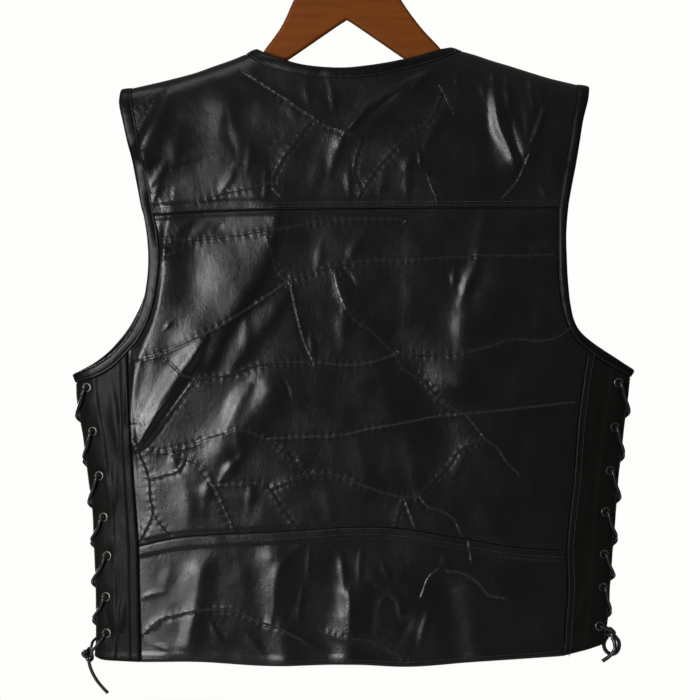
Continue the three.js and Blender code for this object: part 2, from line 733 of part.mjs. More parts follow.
// The back: yoke, centre and hem band between the two side seams
function buildBack() {
  const hole = holes[BACK];
  const neckStart = neckEdges.inner[0];
  const neckEnd = neckEdges.inner[NECK_COLUMNS];
  const yokeTop = joined(
    ridgeBetween(hole[LEFT].yoke[0].x, neckStart.x, SHOULDER_COLUMNS),
    neckEdges.inner,
    ridgeBetween(neckEnd.x, hole[RIGHT].yoke[0].x, SHOULDER_COLUMNS),
  );
  const columns = evenShares(yokeTop.length - 1);
  const yokeSeam = edge(YOKE_SEAM, columns);
  yokeSeam[0] = hole[LEFT].chest[0];
  yokeSeam[yokeSeam.length - 1] = hole[RIGHT].chest[0];
  const bandSeam = edge(BAND_SEAM, columns);
  const hem = edge(BACK_HEM, columns);
  const yoke = drawnIn(patch(yokeTop, yokeSeam, hole[LEFT].yoke, hole[RIGHT].yoke), besideNeck);
  add(named('back_yoke', panelGeometry(yoke, BACK), 'leather'));
  const seamLeft = joined(hole[LEFT].chest, edge(SIDE_SEAM_LEFT, evenShares(SIDE_ROWS)));
  const seamRight = joined(hole[RIGHT].chest, edge(SIDE_SEAM_RIGHT, evenShares(SIDE_ROWS)));
  const centre = drawnIn(patch(yokeSeam, bandSeam, seamLeft, seamRight));
  add(named('back_centre', panelGeometry(centre, BACK), 'leather'));
  const bandLeft = edge(BAND_SIDE_LEFT, evenShares(BAND_ROWS));
  const bandRight = edge(BAND_SIDE_RIGHT, evenShares(BAND_ROWS));
  const band = drawnIn(patch(bandSeam, hem, bandLeft, bandRight));
  add(named('back_band', panelGeometry(band, BACK), 'leather'));
}

// The back's side panels, from the side seam to the laced edge
function buildBackSide(name, hand, seam, bandSide, laced, hem) {
  const seamLine = joined(edge(seam, evenShares(SIDE_ROWS)), edge(bandSide, evenShares(BAND_ROWS)));
  const lacedLine = edge(laced, evenShares(SIDE_ROWS + BAND_ROWS));
  const underarm = holes[BACK][hand].underarm;
  const hemLine = edge(hem, evenShares(UNDERARM_ROWS));
  const rows = hand === LEFT
    ? patch([...underarm].reverse(), hemLine, lacedLine, seamLine)
    : patch(underarm, hemLine, seamLine, lacedLine);
  return named(name, panelGeometry(drawnIn(rows), BACK), 'leather');
}

// A front: shoulder to hem, closing edge to laced edge, in one piece
function frontEdges(hand) {
  const mirror = (x) => (hand === LEFT ? x : 2 * CLOSING_CENTRE - x);
  const rows = FRONT_EDGE.map((row) => ({
    ...row,
    outX: mirror(row.outX),
    inX: mirror(row.inX),
  }));
  const laced = edge(hand === LEFT ? LACED_EDGE_LEFT : LACED_EDGE_RIGHT, evenShares(SIDE_ROWS));
  const outside = joined(holes[FRONT][hand].inner, laced);
  const shares = outside.map((point) => (
    (point.y - outside[0].y) / (outside[outside.length - 1].y - outside[0].y)));
  const lineBy = (xKey, downKey) => {
    const xAt = throughRows(rows, downKey, xKey);
    const first = rows[0][downKey];
    const last = rows[rows.length - 1][downKey];
    return shares.map((share) => {
      const down = THREE.MathUtils.lerp(first, last, share);
      return new THREE.Vector2(xAt(down), down);
    });
  };
  const out = lineBy('outX', 'outDown');
  const inner = lineBy('inX', 'inDown');
  out[0] = onRidge(out[0].x);
  inner[0] = onRidge(inner[0].x);
  return { outside, out, inner };
}

function buildFront(name, hand, edges) {
  const columns = SHOULDER_COLUMNS;
  const top = ridgeBetween(edges.outside[0].x, edges.inner[0].x, columns);
  const outerCorner = edges.outside[edges.outside.length - 1];
  const innerCorner = edges.inner[edges.inner.length - 1];
  const hem = evenShares(columns).map((share) => outerCorner.clone().lerp(innerCorner, share));
  const rows = drawnIn(patch(top, hem, edges.outside, edges.inner), onlyAtSides);
  return named(name, panelGeometry(rows, FRONT, hand === LEFT ? lapRise : undefined), 'leather');
}

// Eyelets: a hole through the panel, and a rimmed barrel in it
function eyeletProfile() {
  const top = EYELET_SEAT + EYELET_RISE;
  return [
    new THREE.Vector2(EYELET_BORE, -WALL / 2),
    new THREE.Vector2(EYELET_BARREL, -WALL / 2),
    new THREE.Vector2(EYELET_BARREL, EYELET_SEAT),
    new THREE.Vector2(EYELET_RIM, EYELET_SEAT),
    new THREE.Vector2(EYELET_BORE, top),
    new THREE.Vector2(EYELET_BORE, -WALL / 2),
  ];
}

function setEyelets(panel, eyelets, side, label) {
  const seats = eyelets.map((place) => onPiece(panel, place.x, place.down, side));
  const up = new THREE.Vector3(0, 1, 0);
  let solid = solidOf(panel.geometry);
  for (const seat of seats) {
    const punch = new THREE.CylinderGeometry(EYELET_HOLE, EYELET_HOLE, 5 * WALL, EYELET_SIDES);
    punch.applyQuaternion(new THREE.Quaternion().setFromUnitVectors(up, seat.normal));
    punch.translate(seat.point.x, seat.point.y, seat.point.z);
    solid = solid.subtract(solidOf(punch));
  }
  const punched = add(named(panel.name, geometryOf(solid), 'leather'));
  seats.forEach((seat, i) => {
    const ring = named(`eyelet_${label}_${i + 1}`,
      new THREE.LatheGeometry(eyeletProfile(), EYELET_SIDES), 'eyelet');
    ring.quaternion.setFromUnitVectors(up, seat.normal);
    ring.position.copy(seat.point);
    add(ring);
  });
  return { panel: punched, seats, whole: panel };
}

// A tube whose stations are the given points
class Route extends THREE.Curve {
  constructor(points) {
    super();
    this.points = points;
  }

  getPoint(t) {
    const last = this.points.length - 1;
    const i = Math.min(Math.floor(t * last), last - 1);
    return this.points[i].clone().lerp(this.points[i + 1], t * last - i);
  }

  getPointAt(t) {
    return this.getPoint(t);
  }

  getTangentAt(t) {
    const last = this.points.length - 1;
    const i = Math.round(t * last);
    const before = this.points[Math.max(i - 1, 0)];
    const after = this.points[Math.min(i + 1, last)];
    return after.clone().sub(before).normalize();
  }

  getSpacedPoints() {
    return this.points.map((point) => point.clone());
  }
}

function tube(points, radius, sides) {
  const section = new THREE.Shape(Array.from({ length: sides }, (_, i) => {
    const angle = 2 * Math.PI * i / sides;
    return new THREE.Vector2(radius * Math.cos(angle), radius * Math.sin(angle));
  }));
  return new THREE.ExtrudeGeometry(section, {
    steps: points.length - 1,
    extrudePath: new Route(points),
    curveSegments: sides,
  });
}

const rowPoint = (row) => new THREE.Vector3(row.x, row.y, heightAt(row.down));

// A lace: out of an eyelet, over the edge, under the other edge and out again
function laceStrand(from, to, side, hand, crossing) {
  const across = side * -1;
  const start = from.point;
  const end = to.point;
  const drop = start.z - end.z;
  const downAt = (share) => -HOOK_TO_SHOULDER - start.z + share * drop;
  const at = (x, y, share) => new THREE.Vector3(x, y, heightAt(downAt(share)));
  const edgeX = (share) => lacedEdge[hand](downAt(share));
  return [
    start.clone(),
    start.clone().addScaledVector(from.normal, LACE_LIFT).add(new THREE.Vector3(hand * 0.6, 0, -1)),
    at(THREE.MathUtils.lerp(start.x, edgeX(0.2), 0.55), start.y, 0.2)
      .addScaledVector(from.normal, 3.4),
    at(edgeX(0.42) + hand * 2.3, side * 10.8, 0.4),
    at(edgeX(0.52) + hand * crossing, side * 1.2, 0.54),
    at(edgeX(0.66) - hand * 2.2, across * 2.6, 0.68),
    end.clone().addScaledVector(to.normal, -6.2).add(new THREE.Vector3(hand * 2.6, 0, 3.2)),
    end.clone().addScaledVector(to.normal, -3.6).add(new THREE.Vector3(hand * 0.3, 0, 0.3)),
  ];
}

function laceRoute(hand, seats) {
  const climb = (firstSide, crossing) => {
    const stations = [];
    let side = firstSide;
    for (let i = 0; i < seats[BACK].length - 1; i += 1) {
      stations.push(...laceStrand(seats[side][i], seats[-side][i + 1], side, hand, crossing));
      side = -side;
    }
    const last = seats[side][seats[BACK].length - 1];
    stations.push(last.point.clone());
    stations.push(last.point.clone().addScaledVector(last.normal, LACE_LIFT)
      .add(new THREE.Vector3(hand * 0.4, 0, -0.6)));
    return { stations, side };
  };
  const tied = (run, ties) => [...run.stations, ...ties.map(rowPoint)];
  const back = tied(climb(BACK, OUTER_CROSSING), TIES[hand][BACK]);
  const front = tied(climb(FRONT, INNER_CROSSING), TIES[hand][FRONT]);
  const bar = [BACK, FRONT].map((side) => (
    seats[side][0].point.clone().addScaledVector(seats[side][0].normal, -5)));
  return [...back.reverse(), bar[0], bar[1], ...front];
}

function knotGeometry(knot) {
  const geometry = new THREE.SphereGeometry(1, 9, 6);
  geometry.scale(knot.width, knot.depth, knot.height);
  const centre = rowPoint(knot);
  return geometry.translate(centre.x, centre.y, centre.z);
}

// A press stud's cap
function studGeometry() {
  return new THREE.LatheGeometry([
    new THREE.Vector2(0, 0),
    new THREE.Vector2(STUD_RADIUS, 0),
    new THREE.Vector2(STUD_RADIUS * 0.93, STUD_HEIGHT * 0.5),
    new THREE.Vector2(STUD_RADIUS * 0.6, STUD_HEIGHT * 0.9),
    new THREE.Vector2(0, STUD_HEIGHT),
  ], 12);
}

// The wooden hanger: one flat board with rounded edges
function hangerGeometry() {
  const line = [];
  const armTop = (hand) => {
    const tops = [];
    for (let x = HANGER_TIP; x > 100; x -= 21) {
      tops.push({ x: hand * x, down: shoulderLine(hand * x) + HANGER_BELOW_SHOULDER });
    }
    return tops;
  };
  const half = (hand) => [
    ...HANGER_UNDERSIDE.map((row) => ({ x: hand * row.x, down: row.down })),
    ...armTop(hand),
    ...HANGER_NECK.map((row) => ({ x: hand === LEFT ? -row.left : row.right, down: row.down })),
  ];
  line.push(...half(RIGHT), ...half(LEFT).reverse());
  const shape = new THREE.Shape(line.map((row) => new THREE.Vector2(row.x, heightAt(row.down))));
  const geometry = new THREE.ExtrudeGeometry(shape, {
    depth: HANGER_THICKNESS - 2 * HANGER_BEVEL,
    bevelThickness: HANGER_BEVEL,
    bevelSize: HANGER_BEVEL,
    bevelOffset: -HANGER_BEVEL,
    bevelSegments: 2,
  });
  geometry.translate(0, 0, HANGER_BEVEL - HANGER_THICKNESS / 2);
  return geometry.rotateX(Math.PI / 2);
}

function hookPoints() {
  const centreHeight = HOOK_WIRE_RADIUS - HOOK_ARC_RADIUS;
  const woodTop = heightAt(WOOD_TOP_DOWN);
  const points = [
    new THREE.Vector3(0, 0, woodTop + 0.3),
    new THREE.Vector3(0, 0, woodTop + 7),
    new THREE.Vector3(1.2, 0, woodTop + 12),
    new THREE.Vector3(5.5, 0, woodTop + 16.6),
  ];
  const steps = 20;
  for (let i = 0; i <= steps; i += 1) {
    const turn = THREE.MathUtils.lerp(HOOK_ARC_START, HOOK_ARC_END, i / steps);
    const angle = THREE.MathUtils.degToRad(turn);
    points.push(new THREE.Vector3(
      HOOK_ARC_RADIUS * Math.cos(angle), 0, centreHeight + HOOK_ARC_RADIUS * Math.sin(angle)));
  }
  return points;
}

buildBack();

const backLeft = buildBackSide('back_side_left', LEFT,
  SIDE_SEAM_LEFT, BAND_SIDE_LEFT, LACED_EDGE_LEFT, SIDE_HEM_LEFT);
const backRight = buildBackSide('back_side_right', RIGHT,
  SIDE_SEAM_RIGHT, BAND_SIDE_RIGHT, LACED_EDGE_RIGHT, SIDE_HEM_RIGHT);
const leftEdges = frontEdges(LEFT);
const rightEdges = frontEdges(RIGHT);
const frontLeft = buildFront('front_left', LEFT, leftEdges);
const frontRight = buildFront('front_right', RIGHT, rightEdges);

const laced = {
  backLeft: setEyelets(backLeft, EYELETS_LEFT, BACK, 'back_left'),
  backRight: setEyelets(backRight, EYELETS_RIGHT, BACK, 'back_right'),
  frontLeft: setEyelets(frontLeft, EYELETS_LEFT, FRONT, 'front_left'),
  frontRight: setEyelets(frontRight, EYELETS_RIGHT, FRONT, 'front_right'),
};

add(named('neck_binding', bindingGeometry(neckEdges, BACK, [0, 1]), 'binding'));
for (const [label, hand] of [['left', LEFT], ['right', RIGHT]]) {
  add(named(`armhole_binding_back_${label}`, bindingGeometry(holes[BACK][hand], BACK, [0]), 'binding'));
  add(named(`armhole_binding_front_${label}`, bindingGeometry(holes[FRONT][hand], FRONT, [0]), 'binding'));
}
add(named('front_edge_binding_left', bindingGeometry(leftEdges, FRONT, [0], lapRise), 'binding'));
add(named('front_edge_binding_right', bindingGeometry(rightEdges, FRONT, [0]), 'binding'));

const seatsLeft = { [BACK]: laced.backLeft.seats, [FRONT]: laced.frontLeft.seats };
const seatsRight = { [BACK]: laced.backRight.seats, [FRONT]: laced.frontRight.seats };
add(named('lace_left', tube(laceRoute(LEFT, seatsLeft), LACE_RADIUS, LACE_SIDES), 'lace'));
add(named('lace_right', tube(laceRoute(RIGHT, seatsRight), LACE_RADIUS, LACE_SIDES), 'lace'));
add(named('lace_knot_left', knotGeometry(KNOT_LEFT), 'lace'));
add(named('lace_knot_right', knotGeometry(KNOT_RIGHT), 'lace'));
add(named('lace_tail_left', tube(TAIL_LEFT.map(rowPoint), TAIL_RADIUS, LACE_SIDES), 'lace'));
add(named('lace_loop_right', tube(LOOP_RIGHT.map(rowPoint), LACE_RADIUS, LACE_SIDES), 'lace'));
add(named('lace_tail_right', tube(TAIL_RIGHT.map(rowPoint), LACE_RADIUS, LACE_SIDES), 'lace'));

STUD_DOWNS.forEach((down, i) => {
  const seat = onPiece(laced.frontLeft.whole, STUD_X, down, FRONT);
  const stud = named(`snap_${i + 1}`, studGeometry(), 'steel');
  stud.quaternion.setFromUnitVectors(new THREE.Vector3(0, 1, 0), seat.normal);
  stud.position.copy(seat.point).addScaledVector(seat.normal, 0.35);
  add(stud);
});

add(named('hanger', hangerGeometry(), 'wood'));
add(named('hook', tube(hookPoints(), HOOK_WIRE_RADIUS, LACE_SIDES), 'steel'));

export default group;
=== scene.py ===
# %% [markdown]
# # A laced leather vest on its hanger
# The thing is the back of a black patchwork leather vest, tied down both sides with
# leather laces and hung on a wooden hanger. Leather is the whole picture here: soft
# folds that catch one large light, lapped seams with their stitches, and a fine grain.
# The frame holds the solids at their real size. Every leather piece is made again here
# as a finer wall on the same form, so the script repeats the form's tables in millimetres.

# %% The frame and the tools
import math

import bpy
import numpy as np
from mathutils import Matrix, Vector


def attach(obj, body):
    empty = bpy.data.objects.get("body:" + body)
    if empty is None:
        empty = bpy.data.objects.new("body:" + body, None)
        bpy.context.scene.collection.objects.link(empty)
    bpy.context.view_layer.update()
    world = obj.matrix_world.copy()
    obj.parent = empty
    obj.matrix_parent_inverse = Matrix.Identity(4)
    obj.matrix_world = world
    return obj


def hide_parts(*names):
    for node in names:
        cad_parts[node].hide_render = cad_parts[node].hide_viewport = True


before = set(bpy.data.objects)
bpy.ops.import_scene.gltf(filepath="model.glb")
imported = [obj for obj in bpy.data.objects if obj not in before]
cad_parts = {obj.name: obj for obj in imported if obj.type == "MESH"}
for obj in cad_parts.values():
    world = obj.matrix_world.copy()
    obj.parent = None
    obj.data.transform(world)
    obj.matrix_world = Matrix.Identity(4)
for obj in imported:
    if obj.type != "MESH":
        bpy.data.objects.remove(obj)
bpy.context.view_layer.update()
MM = 0.001
BACK, FRONT = -1, 1
LEFT, RIGHT = -1, 1

# %% [markdown]
# ## The camera
# The photograph looks straight at the back, from far enough that the shoulders and the hem
# show no perspective to speak of. A long lens far away does that. One pixel of the picture is
# one millimetre at the vest, so the picture is 0.7 m wide there, and the lens follows.

# %% Camera
PICTURE_WIDTH = 0.700
PICTURE_MIDDLE = (0.003, -0.446)
VEST_PLANE = -0.008
CAMERA_AWAY = 3.6
SENSOR = 36.0

camera_data = bpy.data.cameras.new("camera")
camera_data.sensor_width = SENSOR
camera_data.lens = SENSOR * CAMERA_AWAY / PICTURE_WIDTH
camera = bpy.data.objects.new("camera", camera_data)
camera.location = (PICTURE_MIDDLE[0], VEST_PLANE - CAMERA_AWAY, PICTURE_MIDDLE[1])
camera.rotation_euler = (math.radians(90), 0, 0)
bpy.context.collection.objects.link(camera)
bpy.context.scene.camera = camera
print("lens", round(camera_data.lens, 1), "mm")

# %% [markdown]
# ## Helpers for lines and pieces
# A few small tools serve everything below. Some turn a short list of points into
# a smooth line, the same curve that a spline tool would draw, and measure along it. The others
# put an object into the scene, hand it to its body, give it its material, and hide the plain
# solids it stands for.

# %% Smooth lines and finished pieces
HOOK_TO_SHOULDER = 144.0


def height_at(down):
    return -HOOK_TO_SHOULDER - down


def smooth_line(points, each=24):
    """A centripetal spline through the points, as closely spaced points."""
    p = np.asarray(points, float)
    p = np.vstack([2 * p[0] - p[1], p, 2 * p[-1] - p[-2]])
    t = np.linspace(0, 1, each, endpoint=False)[:, None]
    runs = []
    for a, b, c, d in zip(p[:-3], p[1:-2], p[2:-1], p[3:]):
        k0, k1, k2 = (max(math.sqrt(np.linalg.norm(q - r)), 1e-3) for q, r in ((b, a), (c, b), (d, c)))
        start = ((b - a) / k0 - (c - a) / (k0 + k1) + (c - b) / k1) * k1
        end = ((c - b) / k1 - (d - b) / (k1 + k2) + (d - c) / k2) * k1
        runs.append(b * (2 * t**3 - 3 * t**2 + 1) + c * (3 * t**2 - 2 * t**3)
                    + start * (t**3 - 2 * t**2 + t) + end * (t**3 - t**2))
    return np.vstack([*runs, p[-2:-1]])


def way_along(line):
    """How far along a line each of its points lies."""
    return np.concatenate([[0], np.cumsum(np.linalg.norm(np.diff(line, axis=0), axis=1))])


def at_shares(line, shares):
    """The points at the given shares of a line's length."""
    way = way_along(line)
    wanted = np.asarray(shares) * way[-1]
    return np.stack([np.interp(wanted, way, line[:, k]) for k in range(line.shape[1])], axis=1)


def every(line, gap):
    """Points along a line, about a gap apart."""
    count = max(int(round(way_along(line)[-1] / gap)), 1)
    return at_shares(line, np.linspace(0, 1, count + 1))


def directions(line):
    """The unit direction of a line at each of its points."""
    run = np.gradient(line, axis=0)
    return run / np.linalg.norm(run, axis=1, keepdims=True)


def placed(name, data):
    """A new object of the scene with this data."""
    piece = bpy.data.objects.new(name, data)
    bpy.context.collection.objects.link(piece)
    return piece


def settled_mesh(piece):
    """The mesh that an object has once its curve or its modifiers have done their work."""
    graph = bpy.context.evaluated_depsgraph_get()
    return bpy.data.meshes.new_from_object(piece.evaluated_get(graph))


def finished(piece, slot, *nodes, material=None):
    """Rides a piece on the body, gives it its material, and hides what it replaces. The slot is not used."""
    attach(piece, "root")
    if nodes:
        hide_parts(*nodes)
    if material is not None:
        piece.data.materials.clear()
        piece.data.materials.append(material)
    return piece


def as_mesh(shaped):
    """Turns a curve object into a mesh object of the same name, which has a true box."""
    name = shaped.name
    data = settled_mesh(shaped)
    bpy.data.objects.remove(shaped)
    return placed(name, data)


def round_cord(name, points, radius):
    """A smooth round cord through points in millimetres, swept by a curve's round bevel."""
    data = bpy.data.curves.new(name, "CURVE")
    data.dimensions = "3D"
    data.bevel_depth = radius * MM
    data.bevel_resolution = 4
    data.use_fill_caps = True
    spline = data.splines.new("POLY")
    spline.points.add(len(points) - 1)
    flat = np.hstack([np.asarray(points) * MM, np.ones((len(points), 1))])
    spline.points.foreach_set("co", flat.ravel())
    return as_mesh(placed(name, data))


# %% [markdown]
# ## Finishes: leather
# Garment leather is dyed almost black and rolled smooth. Close up it has a pebble grain under
# a millimetre wide, and flexing leaves finer lines in it. Its colour hardly varies, so the look
# comes from the gloss: a mid roughness that changes a little from place to place. A picture of
# leather could be wrapped on, but a procedural grain has no seams and follows every piece.
# The joins of the patches are a stored number on each vertex, the distance to the nearest
# seam, so that the shader can press a crisp line there, finer than the mesh.

# %% Leather material
SEAM_LINE = "seam_line"
SEAM_NEAR = "seam_near"
LAP_RELIEF = 0.00042
LAP_RANGE = 4.2
# millimetres across the seam, and height as a share of the relief
LAP_SECTION = [
    (-1.4, 0.50), (-0.75, 0.30), (-0.15, 0.0), (0.3, 0.30), (0.7, 0.95), (1.5, 1.0), (2.6, 0.85), (3.5, 0.50),
]


def feed(tree, socket, value):
    """Links a socket to another one, or sets it to a plain value."""
    if isinstance(value, bpy.types.NodeSocket):
        tree.links.new(value, socket)
    else:
        socket.default_value = value


def node(tree, kind, **sockets):
    """A shader node with its inputs set, or linked where another socket is given."""
    made = tree.nodes.new(kind)
    for key, value in sockets.items():
        feed(tree, made.inputs[key.replace("_", " ")], value)
    return made


def number(tree, operation, a, b=0.0):
    """One sum between two numbers."""
    made = tree.nodes.new("ShaderNodeMath")
    made.operation = operation
    feed(tree, made.inputs[0], a)
    feed(tree, made.inputs[1], b)
    return made.outputs[0]


def new_material(name, **sockets):
    """A material with the shader's own sockets set, and the place on the object to go by."""
    material = bpy.data.materials.new(name)
    material.use_nodes = True
    tree = material.node_tree
    shader = tree.nodes["Principled BSDF"]
    for key, value in sockets.items():
        shader.inputs[key.replace("_", " ")].default_value = value
    place = tree.nodes.new("ShaderNodeTexCoord").outputs["Object"]
    return material, tree, shader, place


def colour_between(tree, share, first, second):
    """A blend of two colours, each of them three numbers or a socket, by a share."""
    mix = tree.nodes.new("ShaderNodeMix")
    mix.data_type = "RGBA"
    tree.links.new(share, mix.inputs[0])
    for socket, colour in zip(mix.inputs[6:8], (first, second)):
        feed(tree, socket, (*colour, 1) if isinstance(colour, tuple) else colour)
    return mix.outputs[2]


def spread(tree, value, low, high, to_low, to_high):
    """Carries a value from one range to another, and holds it at the ends."""
    made = tree.nodes.new("ShaderNodeMapRange")
    for socket, given in zip(made.inputs, (value, low, high, to_low, to_high)):
        feed(tree, socket, given)
    return made.outputs[0]


def stacked_bumps(tree, shader, layers):
    """Bump layers one on another, each a height with a strength and a depth in metres."""
    normal = None
    for height, strength, depth in layers:
        bump = node(tree, "ShaderNodeBump", Height=height, Strength=strength, Distance=depth)
        if normal is not None:
            tree.links.new(normal, bump.inputs["Normal"])
        normal = bump.outputs[0]
    tree.links.new(normal, shader.inputs["Normal"])


def lap_profile(tree, place):
    """The lap's height from the stored distances, worn flatter here and there along the seams."""
    line = tree.nodes.new("ShaderNodeAttribute")
    line.attribute_name = SEAM_LINE
    near = tree.nodes.new("ShaderNodeAttribute")
    near.attribute_name = SEAM_NEAR
    share = spread(tree, line.outputs["Fac"], -LAP_RANGE, LAP_RANGE, 0.0, 1.0)
    ramp = tree.nodes.new("ShaderNodeValToRGB")
    tree.links.new(share, ramp.inputs[0])
    stops = ramp.color_ramp.elements
    for i, (across, height) in enumerate(LAP_SECTION):
        stop = stops[i] if i < 2 else stops.new(1.0)
        stop.position = 0.5 + across / (2 * LAP_RANGE)
        stop.color = (height, height, height, 1)
    relief = number(tree, "SUBTRACT", ramp.outputs[0], 0.5)
    close_by = spread(tree, near.outputs["Fac"], 3.4, 4.2, 1.0, 0.0)
    worn = node(tree, "ShaderNodeTexNoise", Vector=place, Scale=17.0, Detail=2.0).outputs[0]
    kept = spread(tree, worn, 0.38, 0.60, 0.15, 1.0)
    return number(tree, "MULTIPLY", number(tree, "MULTIPLY", relief, close_by), kept)


def leather(name, dark, light, gloss, seams=False, shine=0.5):
    """Rolled leather of a colour and gloss, with its flex lines, rubbed places, grain and joins."""
    material, tree, shader, place = new_material(name, Specular_IOR_Level=shine)
    stretched = node(tree, "ShaderNodeMapping", Vector=place, Scale=(1.0, 1.0, 0.55)).outputs[0]
    pebbles = node(tree, "ShaderNodeTexVoronoi", Vector=place, Scale=1150.0).outputs["Distance"]
    fine = node(tree, "ShaderNodeTexNoise", Vector=place, Scale=620.0, Detail=3.0).outputs[0]
    flexing = node(tree, "ShaderNodeTexNoise", Vector=stretched, Scale=135.0, Detail=4.0,
                   Roughness=0.62, Distortion=0.7).outputs[0]
    patches = node(tree, "ShaderNodeTexNoise", Vector=place, Scale=24.0, Detail=3.0).outputs[0]
    tree.links.new(colour_between(tree, patches, dark, light), shader.inputs["Base Color"])
    rubbed = node(tree, "ShaderNodeTexNoise", Vector=place, Scale=190.0, Detail=5.0, Roughness=0.7).outputs[0]
    wear = number(tree, "ADD", number(tree, "MULTIPLY", patches, 0.7), number(tree, "MULTIPLY", rubbed, 0.3))
    tree.links.new(spread(tree, wear, 0.32, 0.68, gloss - 0.05, gloss + 0.08), shader.inputs["Roughness"])
    layers = [(flexing, 0.22, 0.0009), (rubbed, 0.2, 0.0003), (fine, 0.4, 0.00022), (pebbles, 0.45, 0.00016)]
    if seams:
        layers.insert(0, (lap_profile(tree, place), 1.0, LAP_RELIEF))
    stacked_bumps(tree, shader, layers)
    return material


panel_leather = leather("panel_leather", (0.0044, 0.0045, 0.0039), (0.0070, 0.0071, 0.0062), 0.25, seams=True)
# painted light: the side panels' leather is coloured lighter than the back's, standing in for the light they
# catch
side_leather_painted_light = leather("side_leather_painted_light", (0.0088, 0.0090, 0.0080), (0.0135, 0.0137, 0.0124), 0.28, shine=0.07)
front_leather = leather("front_leather", (0.0062, 0.0063, 0.0056), (0.0098, 0.0099, 0.0088), 0.27, shine=0.45)
binding_leather = leather("binding_leather", (0.0020, 0.0020, 0.0019), (0.0038, 0.0038, 0.0035), 0.33,
                          shine=0.28)
lace_leather = leather("lace_leather", (0.0035, 0.0035, 0.0033), (0.0080, 0.0080, 0.0076), 0.27, shine=0.9)
print("leathers:", [m.name for m in bpy.data.materials])

# %% [markdown]
# ## The free ends of the laces
# Each lace is one round leather thong, tied off in a knot at the hem. On the left a bare end
# hangs out of the knot. On the right the spare length makes one small loop and ends behind it.
# The routes repeat the points of the solids, and a spline through them makes a cord that
# bends as a stiff thong does. They come first, because their length and place are fixed.

# %% Free ends
LACE_RADIUS = 1.6
TAIL_RADIUS = 1.7
LOOP_RADIUS = 2.0
KNOT_LEFT = dict(x=-258.9, y=-5, down=606.3, width=6, depth=5.5, height=7.2)
KNOT_RIGHT = dict(x=264, y=-1, down=585, width=4.8, depth=4.4, height=4.8)
TAIL_LEFT = [
    (-258.3, -5, 613.85), (-257.4, -5, 618), (-255.6, -5, 623), (-253.3, -5, 627.8),
    (-250.9, -5, 631.8), (-248.3, -5, 635.4), (-245.5, -5, 638.7), (-242.5, -5, 642), (-239.2, -5, 645.3),
]
LOOP_RIGHT = [
    (260.94, -1, 589.14), (257.9, -1, 594), (257.6, -1, 599.5), (260.2, -1, 604.2), (265, -1, 606.8),
    (270, -1, 604.8), (272.5, -1, 599.5), (272, -1, 593.5), (268, -1, 588.24),
]
TAIL_RIGHT = [
    (265.5, -3.5, 589.1), (267.5, -5.2, 594.5), (268.2, -5.4, 600.2),
    (265.4, -5.4, 605.4), (261.2, -5.2, 609.6), (255.6, -4.9, 613.4),
]


def in_space(rows):
    """Rows of x, y and down, as points in millimetres."""
    rows = np.asarray(rows, float)
    return np.column_stack([rows[:, 0], rows[:, 1], height_at(rows[:, 2])])


KNOT_FULLNESS = 1.2
KNOT_FLATNESS = 0.8
KNOT_CORD = 1.15       # the knot's cord against the free end's, as it is pulled tight and swells
END_STEP = 1.0


def knot_cord(name, knot, radius, turn):
    """A tight overhand knot, as one cord that winds three times round and through."""
    t = np.linspace(0, 2 * math.pi, 97)
    x = (np.sin(t) + 2 * np.sin(2 * t)) / 3
    z = (np.cos(t) - 2 * np.cos(2 * t)) / 3
    y = -np.sin(3 * t)
    size = np.array([knot["width"], knot["depth"], knot["height"]]) * KNOT_FULLNESS - radius
    c, s = math.cos(turn), math.sin(turn)
    centre = np.array([knot["x"], knot["y"], height_at(knot["down"])])
    points = np.column_stack([x * c - z * s, y * KNOT_FLATNESS, x * s + z * c]) * size + centre
    return round_cord(name, points, radius)


free_ends = {}
for name, rows, radius, far_end, knot_name, knot, turn in (
    ("lace_tail_left", TAIL_LEFT, TAIL_RADIUS, "bare", "lace_knot_left", KNOT_LEFT, 0.5),
    ("lace_loop_right", LOOP_RIGHT, LOOP_RADIUS, "knot", "lace_knot_right", KNOT_RIGHT, 1.3),
    ("lace_tail_right", TAIL_RIGHT, LOOP_RADIUS, "bare", None, None, 0.0),
):
    line = every(smooth_line(in_space(rows)), END_STEP)
    piece = finished(round_cord(name + "_thong", line, radius), "lace", name, material=lace_leather)
    if knot is not None:
        tied = knot_cord(knot_name + "_wound", knot, radius * KNOT_CORD, turn)
        finished(tied, "lace", knot_name, material=lace_leather)
    length = way_along(line)[-1] * MM
    free_ends[name] = round(length, 4)
print("free ends, in metres:", free_ends)

# %% [markdown]
# ## The form of the hanging vest
# Leather this thick doesn't drape like a sheet. It runs over the hanger in a tight bend, like
# a roof, and then hangs as a flattened tube. The form is a formula with a depth for every
# place across and down, the same one the solids have, so a fine piece lies where its solid is.
# The largest folds belong to it, and the smaller creases are added on top of it below.

# %% The form's tables and depth
WALL = 2.0
RIDGE_RADIUS = 12.0
RIDGE_SLIT = 0.2
BODY_POWER = 2.6
EDGE_SHARE = 0.985
RELIEF_FADE = 40.0
CREASE_FADE = 14.0
SHOULDER_LINE = [
    (-232, 43.5), (-198, 36), (-173, 30), (-151, 24), (-136, 18.6), (-117, 12), (-102, 6), (-89, 1),
    (-50, -12), (6, -19), (60, -12), (102, -0.6), (127, 6), (145, 12), (165, 18), (182, 23.4),
    (204, 30), (229, 36), (248, 40.5),
]
BODY_DEPTH = [(-30, 25), (60, 27), (150, 30), (300, 33), (450, 34), (560, 33), (640, 31)]
LACED_EDGE = {
    LEFT: [(-271, 334.5), (-270.6, 348), (-267.5, 370), (-263.5, 392), (-259, 432), (-255.5, 456),
           (-253.5, 492), (-252, 532), (-251.5, 572), (-251.7, 597), (-252.6, 608)],
    RIGHT: [(283.5, 329), (281.5, 348), (278.5, 372), (274.5, 408), (272, 432), (269, 468),
            (266.5, 504), (263.5, 540), (261.5, 564), (259.5, 582), (258, 595.5)],
}
